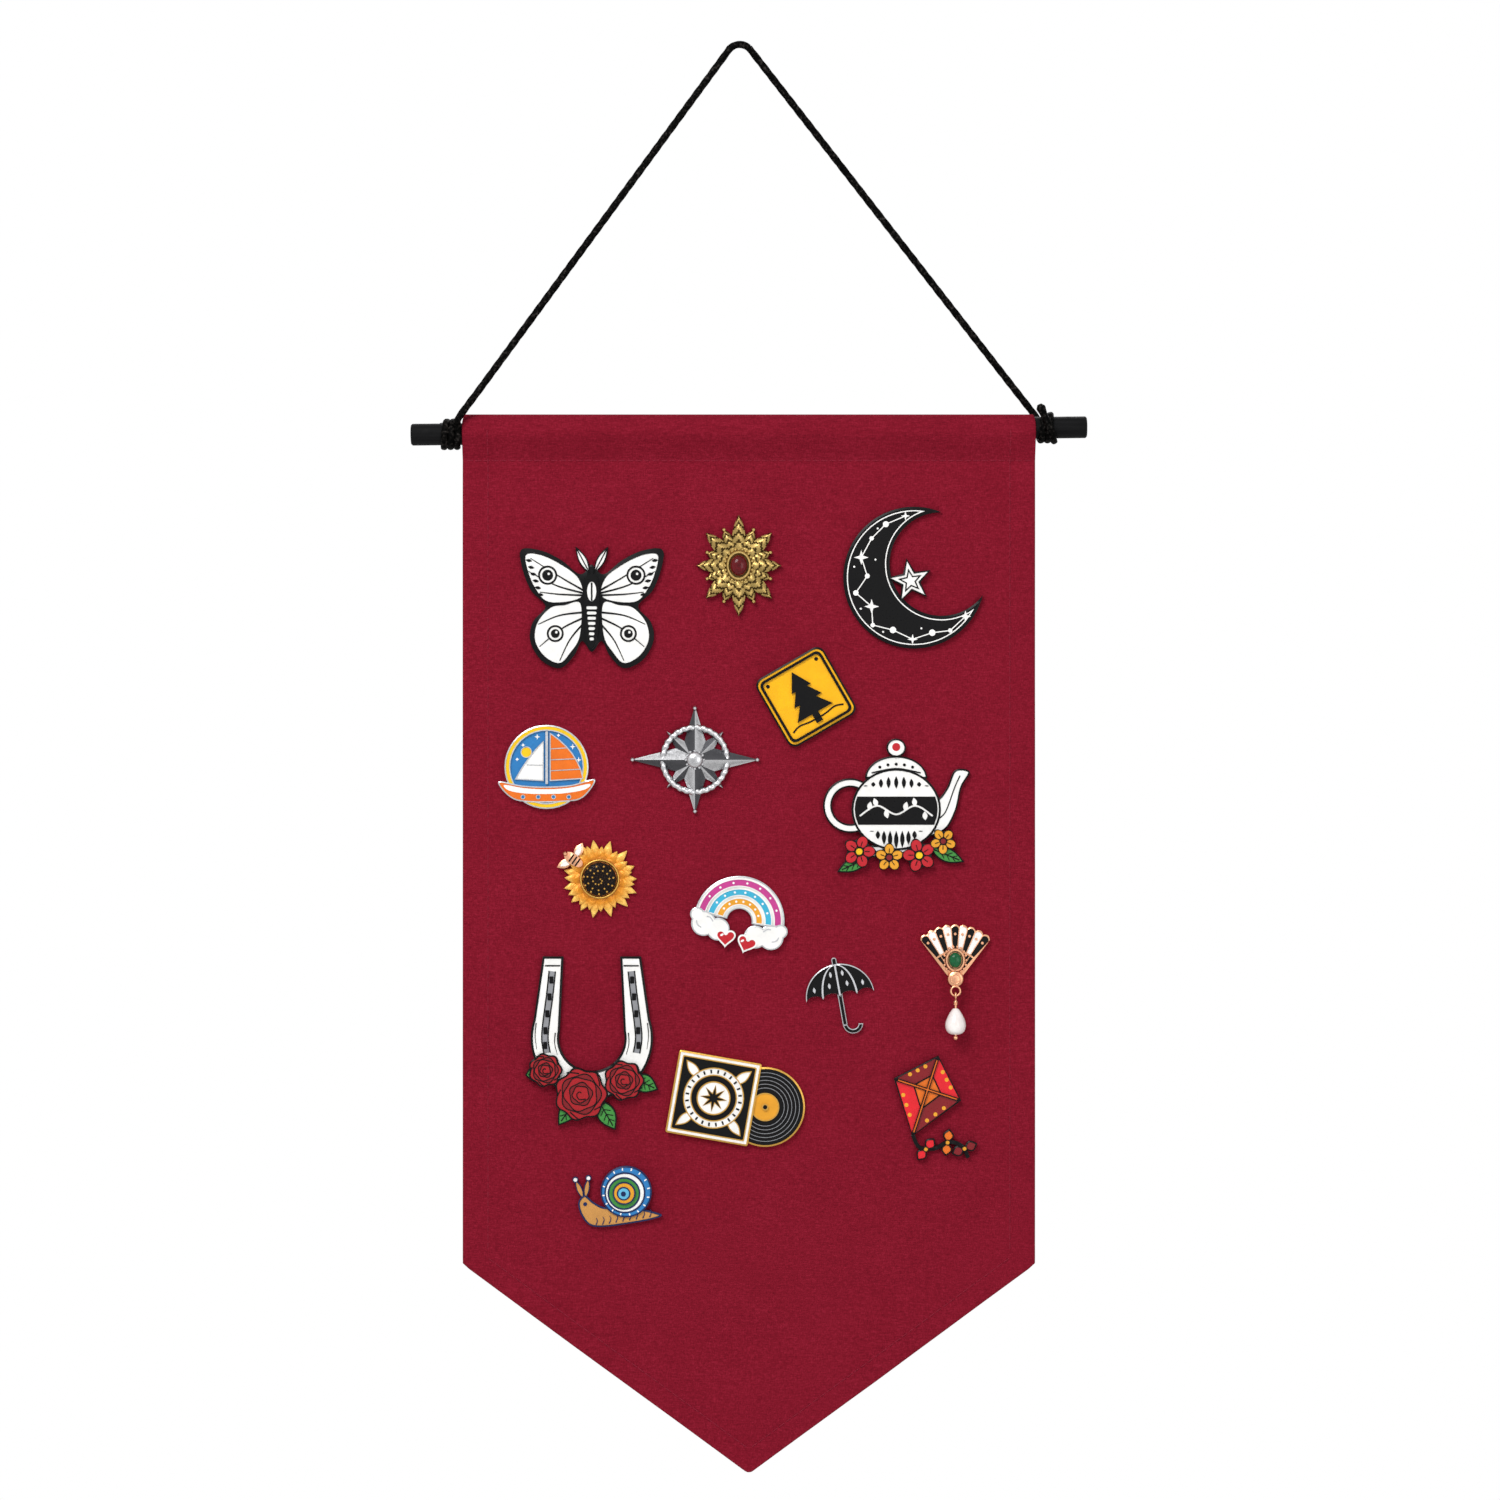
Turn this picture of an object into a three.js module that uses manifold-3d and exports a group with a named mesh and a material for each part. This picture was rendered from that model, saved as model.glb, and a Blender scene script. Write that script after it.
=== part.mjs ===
// A cloth pennant on a rod, hung by a cord, with pin badges pushed through it.
// Millimetres, +Z up, the front faces -Y. The origin is the underside of the
// cord's top bend, where a nail carries the whole thing.
import * as THREE from 'three';
import { mergeVertices } from 'three/addons/utils/BufferGeometryUtils.js';
import Module from 'manifold-3d';

const wasm = await Module();
wasm.setup();

// Cloth
const bannerWidth = 210;
const shoulderDepth = 312; // top fold to the two shoulders
const tipDepth = 389; // top fold to the lower point
const clothThickness = 0.7;
const seamDepth = 17; // top fold to the sleeve's seam
const sideHem = 9;
const pointHem = 7.5;
const hangHeight = 134.6; // nail to top fold
const hangOffset = 3.5; // nail to the banner's centre line

// Rod
const rodDiameter = 8;
const rodOverhang = 19; // bare rod beyond each side of the cloth
const rodChamfer = 0.6;
const rodTilt = 0.64; // degrees, the right end higher
const sleeveClearance = 0.3;

// Cord
const cordDiameter = 2.5;
const cordBend = 5; // centreline radius over the nail
const turnGap = 0.55; // between neighbouring turns on the rod
const leftTurns = 2.5;
const rightTurns = 2.25;
const windingClearance = 0.3; // to the rod and to the cloth's edge
const cordJoint = 0.3; // between the free run and a winding
const leadHeight = 5.6; // where the run meets a winding, above the rod's axis
const leadOuts = [0.95, 0.25]; // and outside the cloth's left and right edges
const leadStandoffs = [1, 2.4]; // and clear of the turns, in front of the left one and behind the right one
const entryHeight = 3; // where it swings in to the first turn, above the rod's axis
const tailRise = 4.6; // the left tail's end, above the rod's axis
const knotStandoff = 3.05; // the right tail swings that far off the turns
const knotSwing = 2.2; // and inward
const knotLean = 3.6; // and goes on leaning inward
const knotRise = 8.2; // to its end, above the rod's axis

// Badges and clutches
const plate = 1.6; // struck metal plate
const relief = 2.2; // raised parts of a plate
const highRelief = 2.8;
const badgeGap = 0.3; // plate to cloth, and clutch to cloth
const postDiameter = 1.2;
const postLength = 8;
const postPoint = 1.4;
const postClearance = 0.3;
const clutchHeight = 7.5;
const flangeDiameter = 10;
const flangeThickness = 1.2;
const capDiameter = 7;
const capRound = 1;

// Loose pieces on badges
const stoneGap = 0.3;
const redStoneRadius = 3.2;
const redStoneHeight = 2.8;
const greenStoneRadius = 2.3;
const greenStoneHeight = 1.8;
const stoneStretch = 1.2; // stones are taller than wide
const bezelWall = 1.1;
const bezelRise = 1.1;
const seedRadius = 6.4;
const seedHeight = 2.4;
const eyeRadius = 1.7; // centreline of the fan's ring
const wireRadius = 0.4;
const eyeLevel = 4.9; // ring's height above the fan's back
const hookRadius = 1.2; // centreline of the wire's loop through the ring
const pearlWidth = 7.6;
const pearlLength = 9.6;
const pearlDrop = 3; // ring's lowest point to the pearl's top
const dropTail = 0.9; // bead of wire under the pearl

// Facets
const roundSides = 24;
const clutchSides = 8;
const wireSides = 8;
const postSides = 6;
const windingSides = 6;
const stepsPerTurn = 24;
const runSteps = 76;
const spanSteps = 3; // points between two knots of a drawn outline
const weld = 1e-4; // corners closer than this are one

const degrees = Math.PI / 180;
const half = 0.5;
const quarterTurn = Math.PI / 2;

const cordRadius = cordDiameter * half;
const rodRadius = rodDiameter * half;
const postRadius = postDiameter * half;
const bannerHalf = bannerWidth * half;
const bannerTop = -hangHeight;
const sleeveInner = rodRadius + sleeveClearance;
const sleeveOuter = sleeveInner + clothThickness;
const sleeveCentre = bannerTop - sleeveOuter;
const tiltDrop = bannerWidth * Math.tan(rodTilt * degrees);
const rodCentre = new THREE.Vector3(hangOffset, 0, sleeveCentre - tiltDrop * half);
const rodAlong = new THREE.Vector3(Math.cos(rodTilt * degrees), 0, Math.sin(rodTilt * degrees));
const rodUp = new THREE.Vector3(-rodAlong.z, 0, rodAlong.x);
const clothFront = -clothThickness * half;
const clothBack = clothThickness * half;
const badgeBack = clothFront - badgeGap;
const clutchFront = clothBack + badgeGap;

const part = new THREE.Group();
part.name = 'pin_badge_board';

const finish = (color, roughness, metalness = 0) =>
  new THREE.MeshStandardMaterial({ color, roughness, metalness });
const crimson = finish(0x841b2c, 0.95);
const blackWood = finish(0x17171a, 0.45);
const blackCord = finish(0x1c1c1e, 0.7);
const rubber = finish(0x202124, 0.6);
const gold = finish(0x9a7838, 0.4, 0.9);
const silver = finish(0x8f8f92, 0.4, 0.9);

function addMesh(name, geometry, material) {
  const mesh = new THREE.Mesh(geometry, material);
  mesh.name = name;
  part.add(mesh);
}

// Solids
function toSolid(geometry) {
  const bare = geometry.clone();
  bare.deleteAttribute('normal');
  bare.deleteAttribute('uv');
  const welded = mergeVertices(bare, weld);
  const corners = Array.from(welded.index.array);
  const faces = [];
  for (let i = 0; i < corners.length; i += 3) {
    const face = corners.slice(i, i + 3);
    if (new Set(face).size === 3) faces.push(...face);
  }
  return new wasm.Manifold(new wasm.Mesh({
    numProp: 3,
    vertProperties: new Float32Array(welded.attributes.position.array),
    triVerts: new Uint32Array(faces),
  }));
}

function toGeometry(solid) {
  const mesh = solid.getMesh();
  const geometry = new THREE.BufferGeometry();
  geometry.setAttribute('position', new THREE.BufferAttribute(new Float32Array(mesh.vertProperties), 3));
  geometry.setIndex(new THREE.BufferAttribute(new Uint32Array(mesh.triVerts), 1));
  geometry.computeVertexNormals();
  return geometry;
}

function joined(geometries) {
  return geometries.map(toSolid).reduce((whole, next) => whole.add(next));
}

// A flat outline becomes a slab whose thickness runs toward the viewer, from
// the level `from` to the level `to` above the plane y = 0.
function slab(shape, from, to) {
  const geometry = new THREE.ExtrudeGeometry(shape, { depth: to - from, bevelEnabled: false });
  geometry.translate(0, 0, from);
  return geometry.rotateX(quarterTurn);
}

function turned(profile, sides) {
  return new THREE.LatheGeometry(profile.map(([r, y]) => new THREE.Vector2(r, y)), sides);
}

// A turned piece whose axis points at the viewer.
function turnedToFront(profile, sides) {
  return turned(profile, sides).rotateX(Math.PI);
}

function regularSection(radius, sides) {
  const section = new THREE.Shape();
  for (let i = 0; i < sides; i += 1) {
    const angle = (i / sides) * 2 * Math.PI;
    const point = [radius * Math.cos(angle), radius * Math.sin(angle)];
    if (i === 0) section.moveTo(...point);
    else section.lineTo(...point);
  }
  return section;
}

function tube(points, radius, sides, steps) {
  return new THREE.ExtrudeGeometry(regularSection(radius, sides), {
    steps,
    bevelEnabled: false,
    extrudePath: new THREE.CatmullRomCurve3(points),
  });
}

// Outlines, as lists of [across, up]
function closed(points, holes = []) {
  const shape = new THREE.Shape(points.map(([u, v]) => new THREE.Vector2(u, v)));
  shape.holes = holes.map((hole) => new THREE.Path(hole.map(([u, v]) => new THREE.Vector2(u, v))));
  return shape;
}

function oval(u, v, across, up = across, sides = roundSides, lean = 0) {
  const c = Math.cos(lean * degrees);
  const s = Math.sin(lean * degrees);
  return Array.from({ length: sides }, (_, i) => {
    const angle = (i / sides) * 2 * Math.PI;
    const a = across * Math.cos(angle);
    const b = up * Math.sin(angle);
    return [u + a * c - b * s, v + a * s + b * c];
  });
}

function arc(u, v, radius, from, to, steps) {
  return Array.from({ length: steps + 1 }, (_, i) => {
    const angle = (from + ((to - from) * i) / steps) * degrees;
    return [u + radius * Math.cos(angle), v + radius * Math.sin(angle)];
  });
}

function drawn(knots) {
  const curve = new THREE.CatmullRomCurve3(
    knots.map(([u, v]) => new THREE.Vector3(u, v, 0)), true, 'catmullrom', half);
  return curve.getPoints(knots.length * spanSteps).slice(0, -1).map((p) => [p.x, p.y]);
}

// The left half of a symmetric outline follows from its right half.
function mirrored(rightHalf) {
  const left = rightHalf.filter(([u]) => u > 0).map(([u, v]) => [-u, v]).reverse();
  return [...rightHalf, ...left];
}

function leaf(u, v, lean, length, width, steps = 4) {
  const c = Math.cos(lean * degrees);
  const s = Math.sin(lean * degrees);
  return Array.from({ length: steps * 2 }, (_, i) => {
    const t = i / steps;
    const a = length * (t < 1 ? t : 2 - t);
    const b = -width * half * Math.sin(Math.PI * t);
    return [u + a * c - b * s, v + a * s + b * c];
  });
}

function flower(u, v, radius, petals, dip, steps = 3) {
  const count = petals * steps;
  return Array.from({ length: count }, (_, i) => {
    const angle = (i / count) * 2 * Math.PI;
    const r = radius * (1 - dip * half * (1 - Math.cos(petals * angle)));
    return [u + r * Math.cos(angle), v + r * Math.sin(angle)];
  });
}

function star(u, v, outer, inner, points, lean) {
  return Array.from({ length: points * 2 }, (_, i) => {
    const angle = lean * degrees + (i * Math.PI) / points;
    const r = i % 2 === 0 ? outer : inner;
    return [u + r * Math.cos(angle), v + r * Math.sin(angle)];
  });
}

function heart(u, v, size, lean, steps = 14) {
  const c = Math.cos(lean * degrees);
  const s = Math.sin(lean * degrees);
  return Array.from({ length: steps }, (_, i) => {
    const t = (i / steps) * 2 * Math.PI;
    const a = (size * 16 * Math.sin(t) ** 3) / 32;
    const wave = 13 * Math.cos(t) - 5 * Math.cos(2 * t) - 2 * Math.cos(3 * t) - Math.cos(4 * t);
    const b = (size * (wave + 2.5)) / 32;
    return [u + a * c - b * s, v + a * s + b * c];
  }).reverse();
}

function roundedBox(u, v, across, up, radius, steps = 3) {
  const a = across * half - radius;
  const b = up * half - radius;
  return [
    ...arc(u + a, v - b, radius, -90, 0, steps),
    ...arc(u + a, v + b, radius, 0, 90, steps),
    ...arc(u - a, v + b, radius, 90, 180, steps),
    ...arc(u - a, v - b, radius, 180, 270, steps),
  ];
}

const flat = (outline, top = plate, from = 0) => slab(closed(outline), from, top);
const hoop = (u, v, outer, inner, top = plate, from = 0) =>
  slab(closed(oval(u, v, outer), [oval(u, v, inner)]), from, top);

// Badge designs, each about its own middle, as solids with their back at y = 0
function moth() {
  const wings = mirrored([
    [0, 15.5], [4.5, 13], [11, 18], [18.5, 21.6], [25.8, 22], [25.6, 15.5], [22.3, 7], [17, 1.2],
    [21.6, -4.5], [22.6, -11.5], [18.6, -18.5], [11.8, -21.5], [6.6, -17], [3.6, -11.5], [0, -15.5],
  ]);
  return [
    flat(drawn(wings)),
    flat(oval(0, 1, 2.8, 15.5, 16), highRelief),
    flat(leaf(0.6, 13, 62, 11.5, 3.2)),
    flat(leaf(-0.6, 13, 118, 11.5, 3.2)),
  ];
}

const burstLeaves = Array.from({ length: 16 }, (_, i) => {
  const lean = (i * 360) / 16;
  const reach = i % 2 === 0 ? 15.6 : 12.4;
  const tall = 1 + 0.19 * Math.sin(lean * degrees) ** 2;
  return { lean, reach: reach * tall };
});

const redBezel = redStoneRadius + stoneGap + bezelWall;

function leafBurst() {
  const stone = redStoneRadius + stoneGap;
  return [
    flat(oval(0, 0, 8.6, 9.4)),
    ...burstLeaves.map(({ lean, reach }, i) =>
      flat(leaf(0, 0, lean, reach, 5.2, 3), i % 2 === 0 ? relief : plate + badgeGap)),
    flat(oval(0, 0, redBezel, redBezel * stoneStretch), relief),
    slab(closed(
      oval(0, 0, redBezel, redBezel * stoneStretch),
      [oval(0, 0, stone, stone * stoneStretch)],
    ), plate, relief + bezelRise),
  ];
}

function crescent() {
  const outer = 26;
  const inner = 19;
  const [iu, iv] = [10, 5];
  const bow = [...arc(0, 0, outer, 70.5, 342.5, 34), ...arc(iu, iv, inner, -47.5, -259.5, 26)];
  return [flat(bow), flat(star(-1.4, -1.2, 8.4, 3.7, 5, 100), relief)];
}

function sign() {
  const side = 28.4;
  const frame = [roundedBox(0, 0, side - 2, side - 2, 2.4), roundedBox(0, 0, side - 3.6, side - 3.6, 1.8)];
  const pine = mirrored([
    [0, -10.4], [1.3, -10.4], [1.3, -6.8], [7.4, -6.8], [3.4, -1.6], [5.8, -1.6], [2.4, 3.4], [4, 3.4],
    [0, 10.4],
  ]);
  return [
    flat(roundedBox(0, 0, side, side, 3.2)),
    slab(closed(frame[0], [frame[1]]), plate * half, relief),
    flat(pine, relief),
  ];
}

function boat() {
  const hull = drawn([
    [-17.6, -5.4], [-9, -6.8], [0, -7.2], [9, -6.6], [17.8, -4.6], [13.4, -11.2], [6, -12.8], [-8, -12.8],
    [-14, -10.6],
  ]);
  const mainSail = [[1.2, -5.2], [13.6, -4.4], [11.4, 2], [7.4, 7.6], [1.2, 12.6]];
  const foreSail = [[-1, -5.2], [-1, 9.6], [-6.4, 3.6], [-11.6, -4.6]];
  return [
    flat(oval(0, 0, 15.4)),
    hoop(0, 0, 15.4, 13.6, relief),
    flat(hull, relief),
    flat(mainSail, relief),
    flat(foreSail.reverse(), relief),
  ];
}

function compass() {
  const ridge = (reach, across, height, lean) => {
    const cone = new THREE.ConeGeometry(1, height, 4);
    cone.translate(0, height * half, 0);
    cone.scale(reach, 1, across);
    cone.rotateY(lean * degrees);
    return cone.rotateX(Math.PI);
  };
  return [
    ridge(23.6, 6, 4.6, 0),
    ridge(19.6, 6, 4.6, 90),
    ridge(14.6, 4.4, 3.6, 45),
    ridge(14.6, 4.4, 3.6, -45),
    hoop(0, 0, 13, 10.6, relief),
  ];
}

const potBlooms = [
  [-13.6, -17.4, 6.2], [-2.6, -19.6, 5.4], [8.4, -18.8, 6.4], [17.2, -13.6, 5],
];

function teapot() {
  const spout = drawn([
    [11, -11], [18, -9.4], [22, -2.4], [24, 6], [27, 11.8], [21.6, 12.4], [18.6, 6], [15, 1.6], [10, 2],
  ]);
  return [
    flat(oval(0, -2, 16.4, 15)),
    flat(spout),
    hoop(-16.8, -0.6, 10, 6.8),
    flat([...arc(0, 9.4, 11.4, 0, 180, 12)].map(([u, v]) => [u, 9.4 + (v - 9.4) * 0.72])),
    flat(oval(0, 20.6, 3.6, 3.4, 16), relief),
    flat(roundedBox(0, -17.4, 19, 4.4, 1)),
    ...potBlooms.map(([u, v, r]) => flat(flower(u, v, r, 5, 0.3), highRelief)),
    flat(leaf(-9, -19, 205, 14, 5.4), relief),
    flat(leaf(12, -16, -22, 14, 5.4), relief),
  ];
}

function sunflower() {
  const petals = (radius, lean) => flower(0, 0, radius, 13, 0.26).map(([u, v]) => [
    u * Math.cos(lean * degrees) - v * Math.sin(lean * degrees),
    u * Math.sin(lean * degrees) + v * Math.cos(lean * degrees),
  ]);
  return [
    flat(petals(14.4, 0)),
    flat(petals(12.9, 180 / 13), relief),
    flat(oval(-9.6, 7.2, 3.9, 2.1, 10, 145), highRelief),
    flat(leaf(-9.2, 7.6, 62, 6.4, 3.2, 3), highRelief),
    flat(leaf(-9.8, 7, 205, 6.4, 3.2, 3), highRelief),
  ];
}

function rainbow() {
  const middle = -4.6;
  const arch = [...arc(0, middle, 16.6, 0, 180, 16), ...arc(0, middle, 4.6, 180, 0, 8)];
  const band = (outer, inner) =>
    flat([...arc(0, middle, outer, 4, 176, 12), ...arc(0, middle, inner, 176, 4, 10)], relief);
  const puffs = [
    [-12.6, -8, 4.6], [-7, -9, 4.2], [-15.6, -5.2, 2.6], [12.6, -8, 4.6], [7, -9, 4.2], [15.6, -5.2, 2.6],
  ];
  return [
    flat(arch),
    band(15.6, 12.8),
    band(12, 9.4),
    band(8.6, 6),
    ...puffs.map(([u, v, r]) => flat(oval(u, v, r, r, 10), relief)),
    flat(heart(-3.6, -12, 7.4, 8), highRelief),
    flat(heart(4.2, -12.6, 7.4, -10), highRelief),
  ];
}

function umbrella() {
  const lobes = [-12.6, -6.3, 0, 6.3];
  const edge = lobes.flatMap((u) => arc(u + 3.15, -0.6, 3.15, 180, 0, 6).slice(0, -1)
    .map(([a, b]) => [a, -0.6 + (b + 0.6) * half]));
  const dome = arc(0, -0.6, 12.6, 0, 180, 22).map(([a, b]) => [a, -0.6 + (b + 0.6) * 0.96]);
  const hook = [...arc(2.9, -11, 3.7, 180, 350, 12), ...arc(2.9, -11, 2.1, 350, 180, 10)];
  return [
    flat([...dome, ...edge.slice(1)]),
    flat(roundedBox(0, 12.4, 1.8, 3, 0.8)),
    flat(roundedBox(0, -4.6, 1.7, 13.2, 0.4)),
    flat(hook),
  ];
}

// The fan spreads from its rivet; a ring under the rivet carries the drop.
const rivet = [0, -10.4];
const eyeCentre = [rivet[0], rivet[1] - 4.4];
const fanStone = [0, -3.6];
const greenBezel = greenStoneRadius + stoneGap + bezelWall;

function fan() {
  const spread = 42;
  const scallops = 9;
  const onFan = (radius, step) => {
    const angle = (90 - spread + (2 * spread * step) / scallops) * degrees;
    return [rivet[0] + radius * Math.cos(angle), rivet[1] + radius * Math.sin(angle)];
  };
  const rim = Array.from({ length: scallops }, (_, i) => [onFan(19, i), onFan(19.9, i + half)]).flat();
  const outline = [[rivet[0] + 2, rivet[1]], ...rim, onFan(19, scallops), [rivet[0] - 2, rivet[1]]];
  const eye = new THREE.TorusGeometry(eyeRadius, wireRadius, wireSides, roundSides * half);
  eye.rotateX(quarterTurn).translate(eyeCentre[0], -eyeLevel, eyeCentre[1]);
  const stone = greenStoneRadius + stoneGap;
  return [
    flat(outline, relief),
    flat(oval(...rivet, 3, 3, 16), eyeLevel + wireRadius),
    eye,
    slab(closed(
      oval(...fanStone, greenBezel, greenBezel * stoneStretch),
      [oval(...fanStone, stone, stone * stoneStretch)],
    ), plate, relief + bezelRise),
  ];
}

const roses = [[-4, -20.4, 10], [11.8, -15.4, 7.6], [-17, -11.6, 6.4]];

function horseshoe() {
  const outline = [
    [18, 30], ...arc(0, 0, 22.4, 18, -198, 26), [-18, 30], [-10.4, 30], ...arc(0, 0, 12, -192, 12, 20),
    [10.4, 30],
  ].reverse();
  const leaves = [[-4, -20, 235, 14.6], [2, -22, 300, 13.4], [14, -14, -25, 11.4], [-16, -12, 190, 8.6]];
  return [
    flat(outline),
    ...roses.map(([u, v, r]) => flat(flower(u, v, r, 7, 0.12), highRelief)),
    ...leaves.map(([u, v, lean, length]) => flat(leaf(u, v, lean, length, 7), relief)),
  ];
}

function record() {
  return [
    flat(oval(9.8, 0, 14.6, 14.6, 32)),
    flat(roundedBox(-9.4, 0, 30.6, 30.6, 0.8), relief),
    flat(oval(-9.4, 0, 6.2), highRelief),
    flat(oval(9.8, 0, 1.2, 1.2, 12), relief),
  ];
}

function kite() {
  const sail = [[0, 18], [-13, 5], [0, -13], [13, 5]];
  const knots = [[0, -12.4], [3.6, -16], [9, -15], [13.2, -11], [18.4, -10.8], [22, -14.2]];
  const tailSteps = 14;
  const tail = new THREE.CatmullRomCurve3(knots.map(([u, v]) => new THREE.Vector3(u, v, 0)));
  const spine = tail.getPoints(tailSteps);
  const edge = (sign) => spine.map((p, i) => {
    const t = tail.getTangent(i / tailSteps);
    return [p.x - sign * t.y * 0.7, p.y + sign * t.x * 0.7];
  });
  const bows = [[6.2, -16, 70], [13, -11.2, 100], [19.6, -11.4, 40]];
  return [
    flat(sail, relief),
    flat([...edge(-1), ...edge(1).reverse()]),
    ...bows.flatMap(([u, v, lean]) => [
      flat(leaf(u, v, lean, 5, 4), relief),
      flat(leaf(u, v, lean + 180, 5, 4), relief),
      flat(oval(u, v, 1.1, 1.1, 8), relief),
    ]),
    flat([[-0.6, 17], [-0.6, -12], [0.6, -12], [0.6, 17]], highRelief),
    flat([[-12, 5.6], [-12, 4.4], [12, 4.4], [12, 5.6]], highRelief),
  ];
}

function snail() {
  const foot = drawn([
    [-11.8, 2.6], [-14.6, 0.4], [-14.2, -4.4], [-11.6, -8.6], [-6, -10], [4, -10.2], [11, -10], [15, -9],
    [10, -6.4], [3, -4], [-5, -3], [-9, -0.4],
  ]);
  return [
    flat(foot),
    flat(oval(3.4, 1.6, 9.4, 9.4, 28), relief),
    flat(oval(3.4, 1.6, 4.4, 4.4, 16), highRelief),
    flat(leaf(-12.4, 1, 104, 8.4, 2.2)),
    flat(leaf(-12, 1, 72, 8.4, 2.2)),
  ];
}

// name, across from the banner's middle, down from its top fold, clockwise turn,
// finish, design, posts about the badge's own middle
const enamel = (color) => finish(color, 0.3, 0.2);
const badges = [
  ['moth', -57.6, 71.8, 0, enamel(0xe6e4e0), moth, [[-11, 9], [11, 9]]],
  ['leaf_burst', -3.7, 55.7, 0, gold, leafBurst, [[-6.4, 0], [6.4, 0]]],
  ['crescent', 60.6, 60.1, 0, enamel(0x1d1b1c), crescent, [[-17.6, 2], [-6, -17]]],
  ['sign', 20.9, 103.8, -30, enamel(0xf0c417), sign, [[-7, 0], [7, 0]]],
  ['boat', -74.2, 129.5, 0, enamel(0x2a6fae), boat, [[-7, -2], [7, -2]]],
  ['compass', -19.8, 126.9, 0, silver, compass, [[-8, 0], [8, 0]]],
  ['teapot', 54, 143.1, 0, enamel(0xece8e4), teapot, [[-7.4, -2], [7.4, -2]]],
  ['sunflower', -54.7, 170.6, 0, enamel(0xe2951a), sunflower, [[-6, 0], [6, 0]]],
  ['rainbow', -2.6, 181.6, 12, enamel(0xf0ecec), rainbow, [[-9.6, 0], [9.6, 0]]],
  ['umbrella', 33.4, 213.2, -10, enamel(0x1c1a1d), umbrella, [[-6, 4.6], [6, 4.6]]],
  ['fan', 75.6, 196.7, 0, enamel(0xd9d5cf), fan, [[-6.4, 3], [6.4, 3]]],
  ['horseshoe', -57.6, 229, 0, enamel(0xe9e5e2), horseshoe, [[-16, 6], [16, 6]]],
  ['record', -3.7, 252.5, 10, enamel(0x1b191a), record, [[-10, 3], [10, 3]]],
  ['kite', 63.9, 252.5, 18, enamel(0xb3141f), kite, [[0, 9], [0, -4]]],
  ['snail', -48.1, 287.3, -9, enamel(0xc98a3c), snail, [[-2.6, 0], [9.4, 0]]],
];

// Moves a piece from a badge's own middle to its place on the cloth.
function place(geometry, [, across, down, turn], level) {
  geometry.rotateY(turn * degrees);
  return geometry.translate(hangOffset + across, level, bannerTop - down);
}

function postPlaces([, across, down, turn, , , posts]) {
  const c = Math.cos(turn * degrees);
  const s = Math.sin(turn * degrees);
  return posts.map(([u, v]) => [hangOffset + across + u * c + v * s, bannerTop - down - u * s + v * c]);
}

const post = () => turned([
  [0, -plate * half], [postRadius, -plate * half], [postRadius, postLength - postPoint], [0, postLength],
], postSides);

// Cloth: a panel with post holes, a teardrop sleeve round the rod and hems behind
function cloth() {
  const shoulder = bannerTop - shoulderDepth;
  const tip = bannerTop - tipDepth;
  const seam = bannerTop - seamDepth;
  const left = hangOffset - bannerHalf;
  const right = hangOffset + bannerHalf;
  const slope = Math.hypot(bannerHalf, tipDepth - shoulderDepth);
  const rise = (tipDepth - shoulderDepth) / bannerHalf;
  const tipIn = (pointHem * slope) / bannerHalf;
  const holeRadius = postRadius + postClearance;
  const holes = badges.flatMap(postPlaces).map(([u, v]) => oval(u, v, holeRadius, holeRadius, postSides));
  const inSeam = seam + clothThickness * half;
  const panel = [[left, inSeam], [left, shoulder], [hangOffset, tip], [right, shoulder], [right, inSeam]];
  const hem = [
    ...panel,
    [right - sideHem, inSeam],
    [right - sideHem, shoulder + tipIn - sideHem * rise],
    [hangOffset, tip + tipIn],
    [left + sideHem, shoulder + tipIn - sideHem * rise],
    [left + sideHem, inSeam],
  ];
  const fall = sleeveCentre - tiltDrop - sleeveClearance;
  const outside = [
    [clothThickness, seam], [sleeveOuter, fall],
    ...arc(0, sleeveCentre, sleeveOuter, 0, 180, 16),
    [-sleeveOuter, fall], [-clothThickness, seam],
  ];
  const inside = [
    [0, seam + clothThickness], [sleeveInner, fall],
    ...arc(0, sleeveCentre, sleeveInner, 0, 180, 16),
    [-sleeveInner, fall],
  ];
  const sleeve = new THREE.ExtrudeGeometry(closed(outside, [inside]), {
    depth: bannerWidth,
    bevelEnabled: false,
  });
  sleeve.rotateX(quarterTurn).rotateZ(quarterTurn).translate(left, 0, 0);
  return joined([
    slab(closed(panel, holes), -clothBack, -clothFront),
    slab(closed(hem), -clothBack - clothThickness, 0),
    sleeve,
  ]);
}

addMesh('cloth_pennant', toGeometry(cloth()), crimson);

// Rod
const rodHalf = bannerHalf + rodOverhang;
const rod = turned([
  [0, -rodHalf], [rodRadius - rodChamfer, -rodHalf], [rodRadius, rodChamfer - rodHalf],
  [rodRadius, rodHalf - rodChamfer], [rodRadius - rodChamfer, rodHalf], [0, rodHalf],
], roundSides);
rod.rotateZ(-quarterTurn).rotateY(-rodTilt * degrees).translate(...rodCentre);
addMesh('rod', rod, blackWood);

// Cord: a free run over the nail between two windings on the rod
const turnRadius = rodRadius + windingClearance + cordRadius;
const turnPitch = cordDiameter + turnGap;
const firstTurn = bannerHalf + windingClearance + cordRadius;

// A point by the rod: along it, toward the viewer and up from its axis
function byRod(along, front, up) {
  const point = rodCentre.clone().addScaledVector(rodAlong, along).addScaledVector(rodUp, up);
  point.y = -front;
  return point;
}

// The same for a winding, outward along the rod and toward the side that its lead comes down
const byWinding = (side, out, near, up) => byRod(side * out, -side * near, up);

// The left or the right value of two
const ofSide = (side, [left, right]) => (side < 0 ? left : right);

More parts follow.
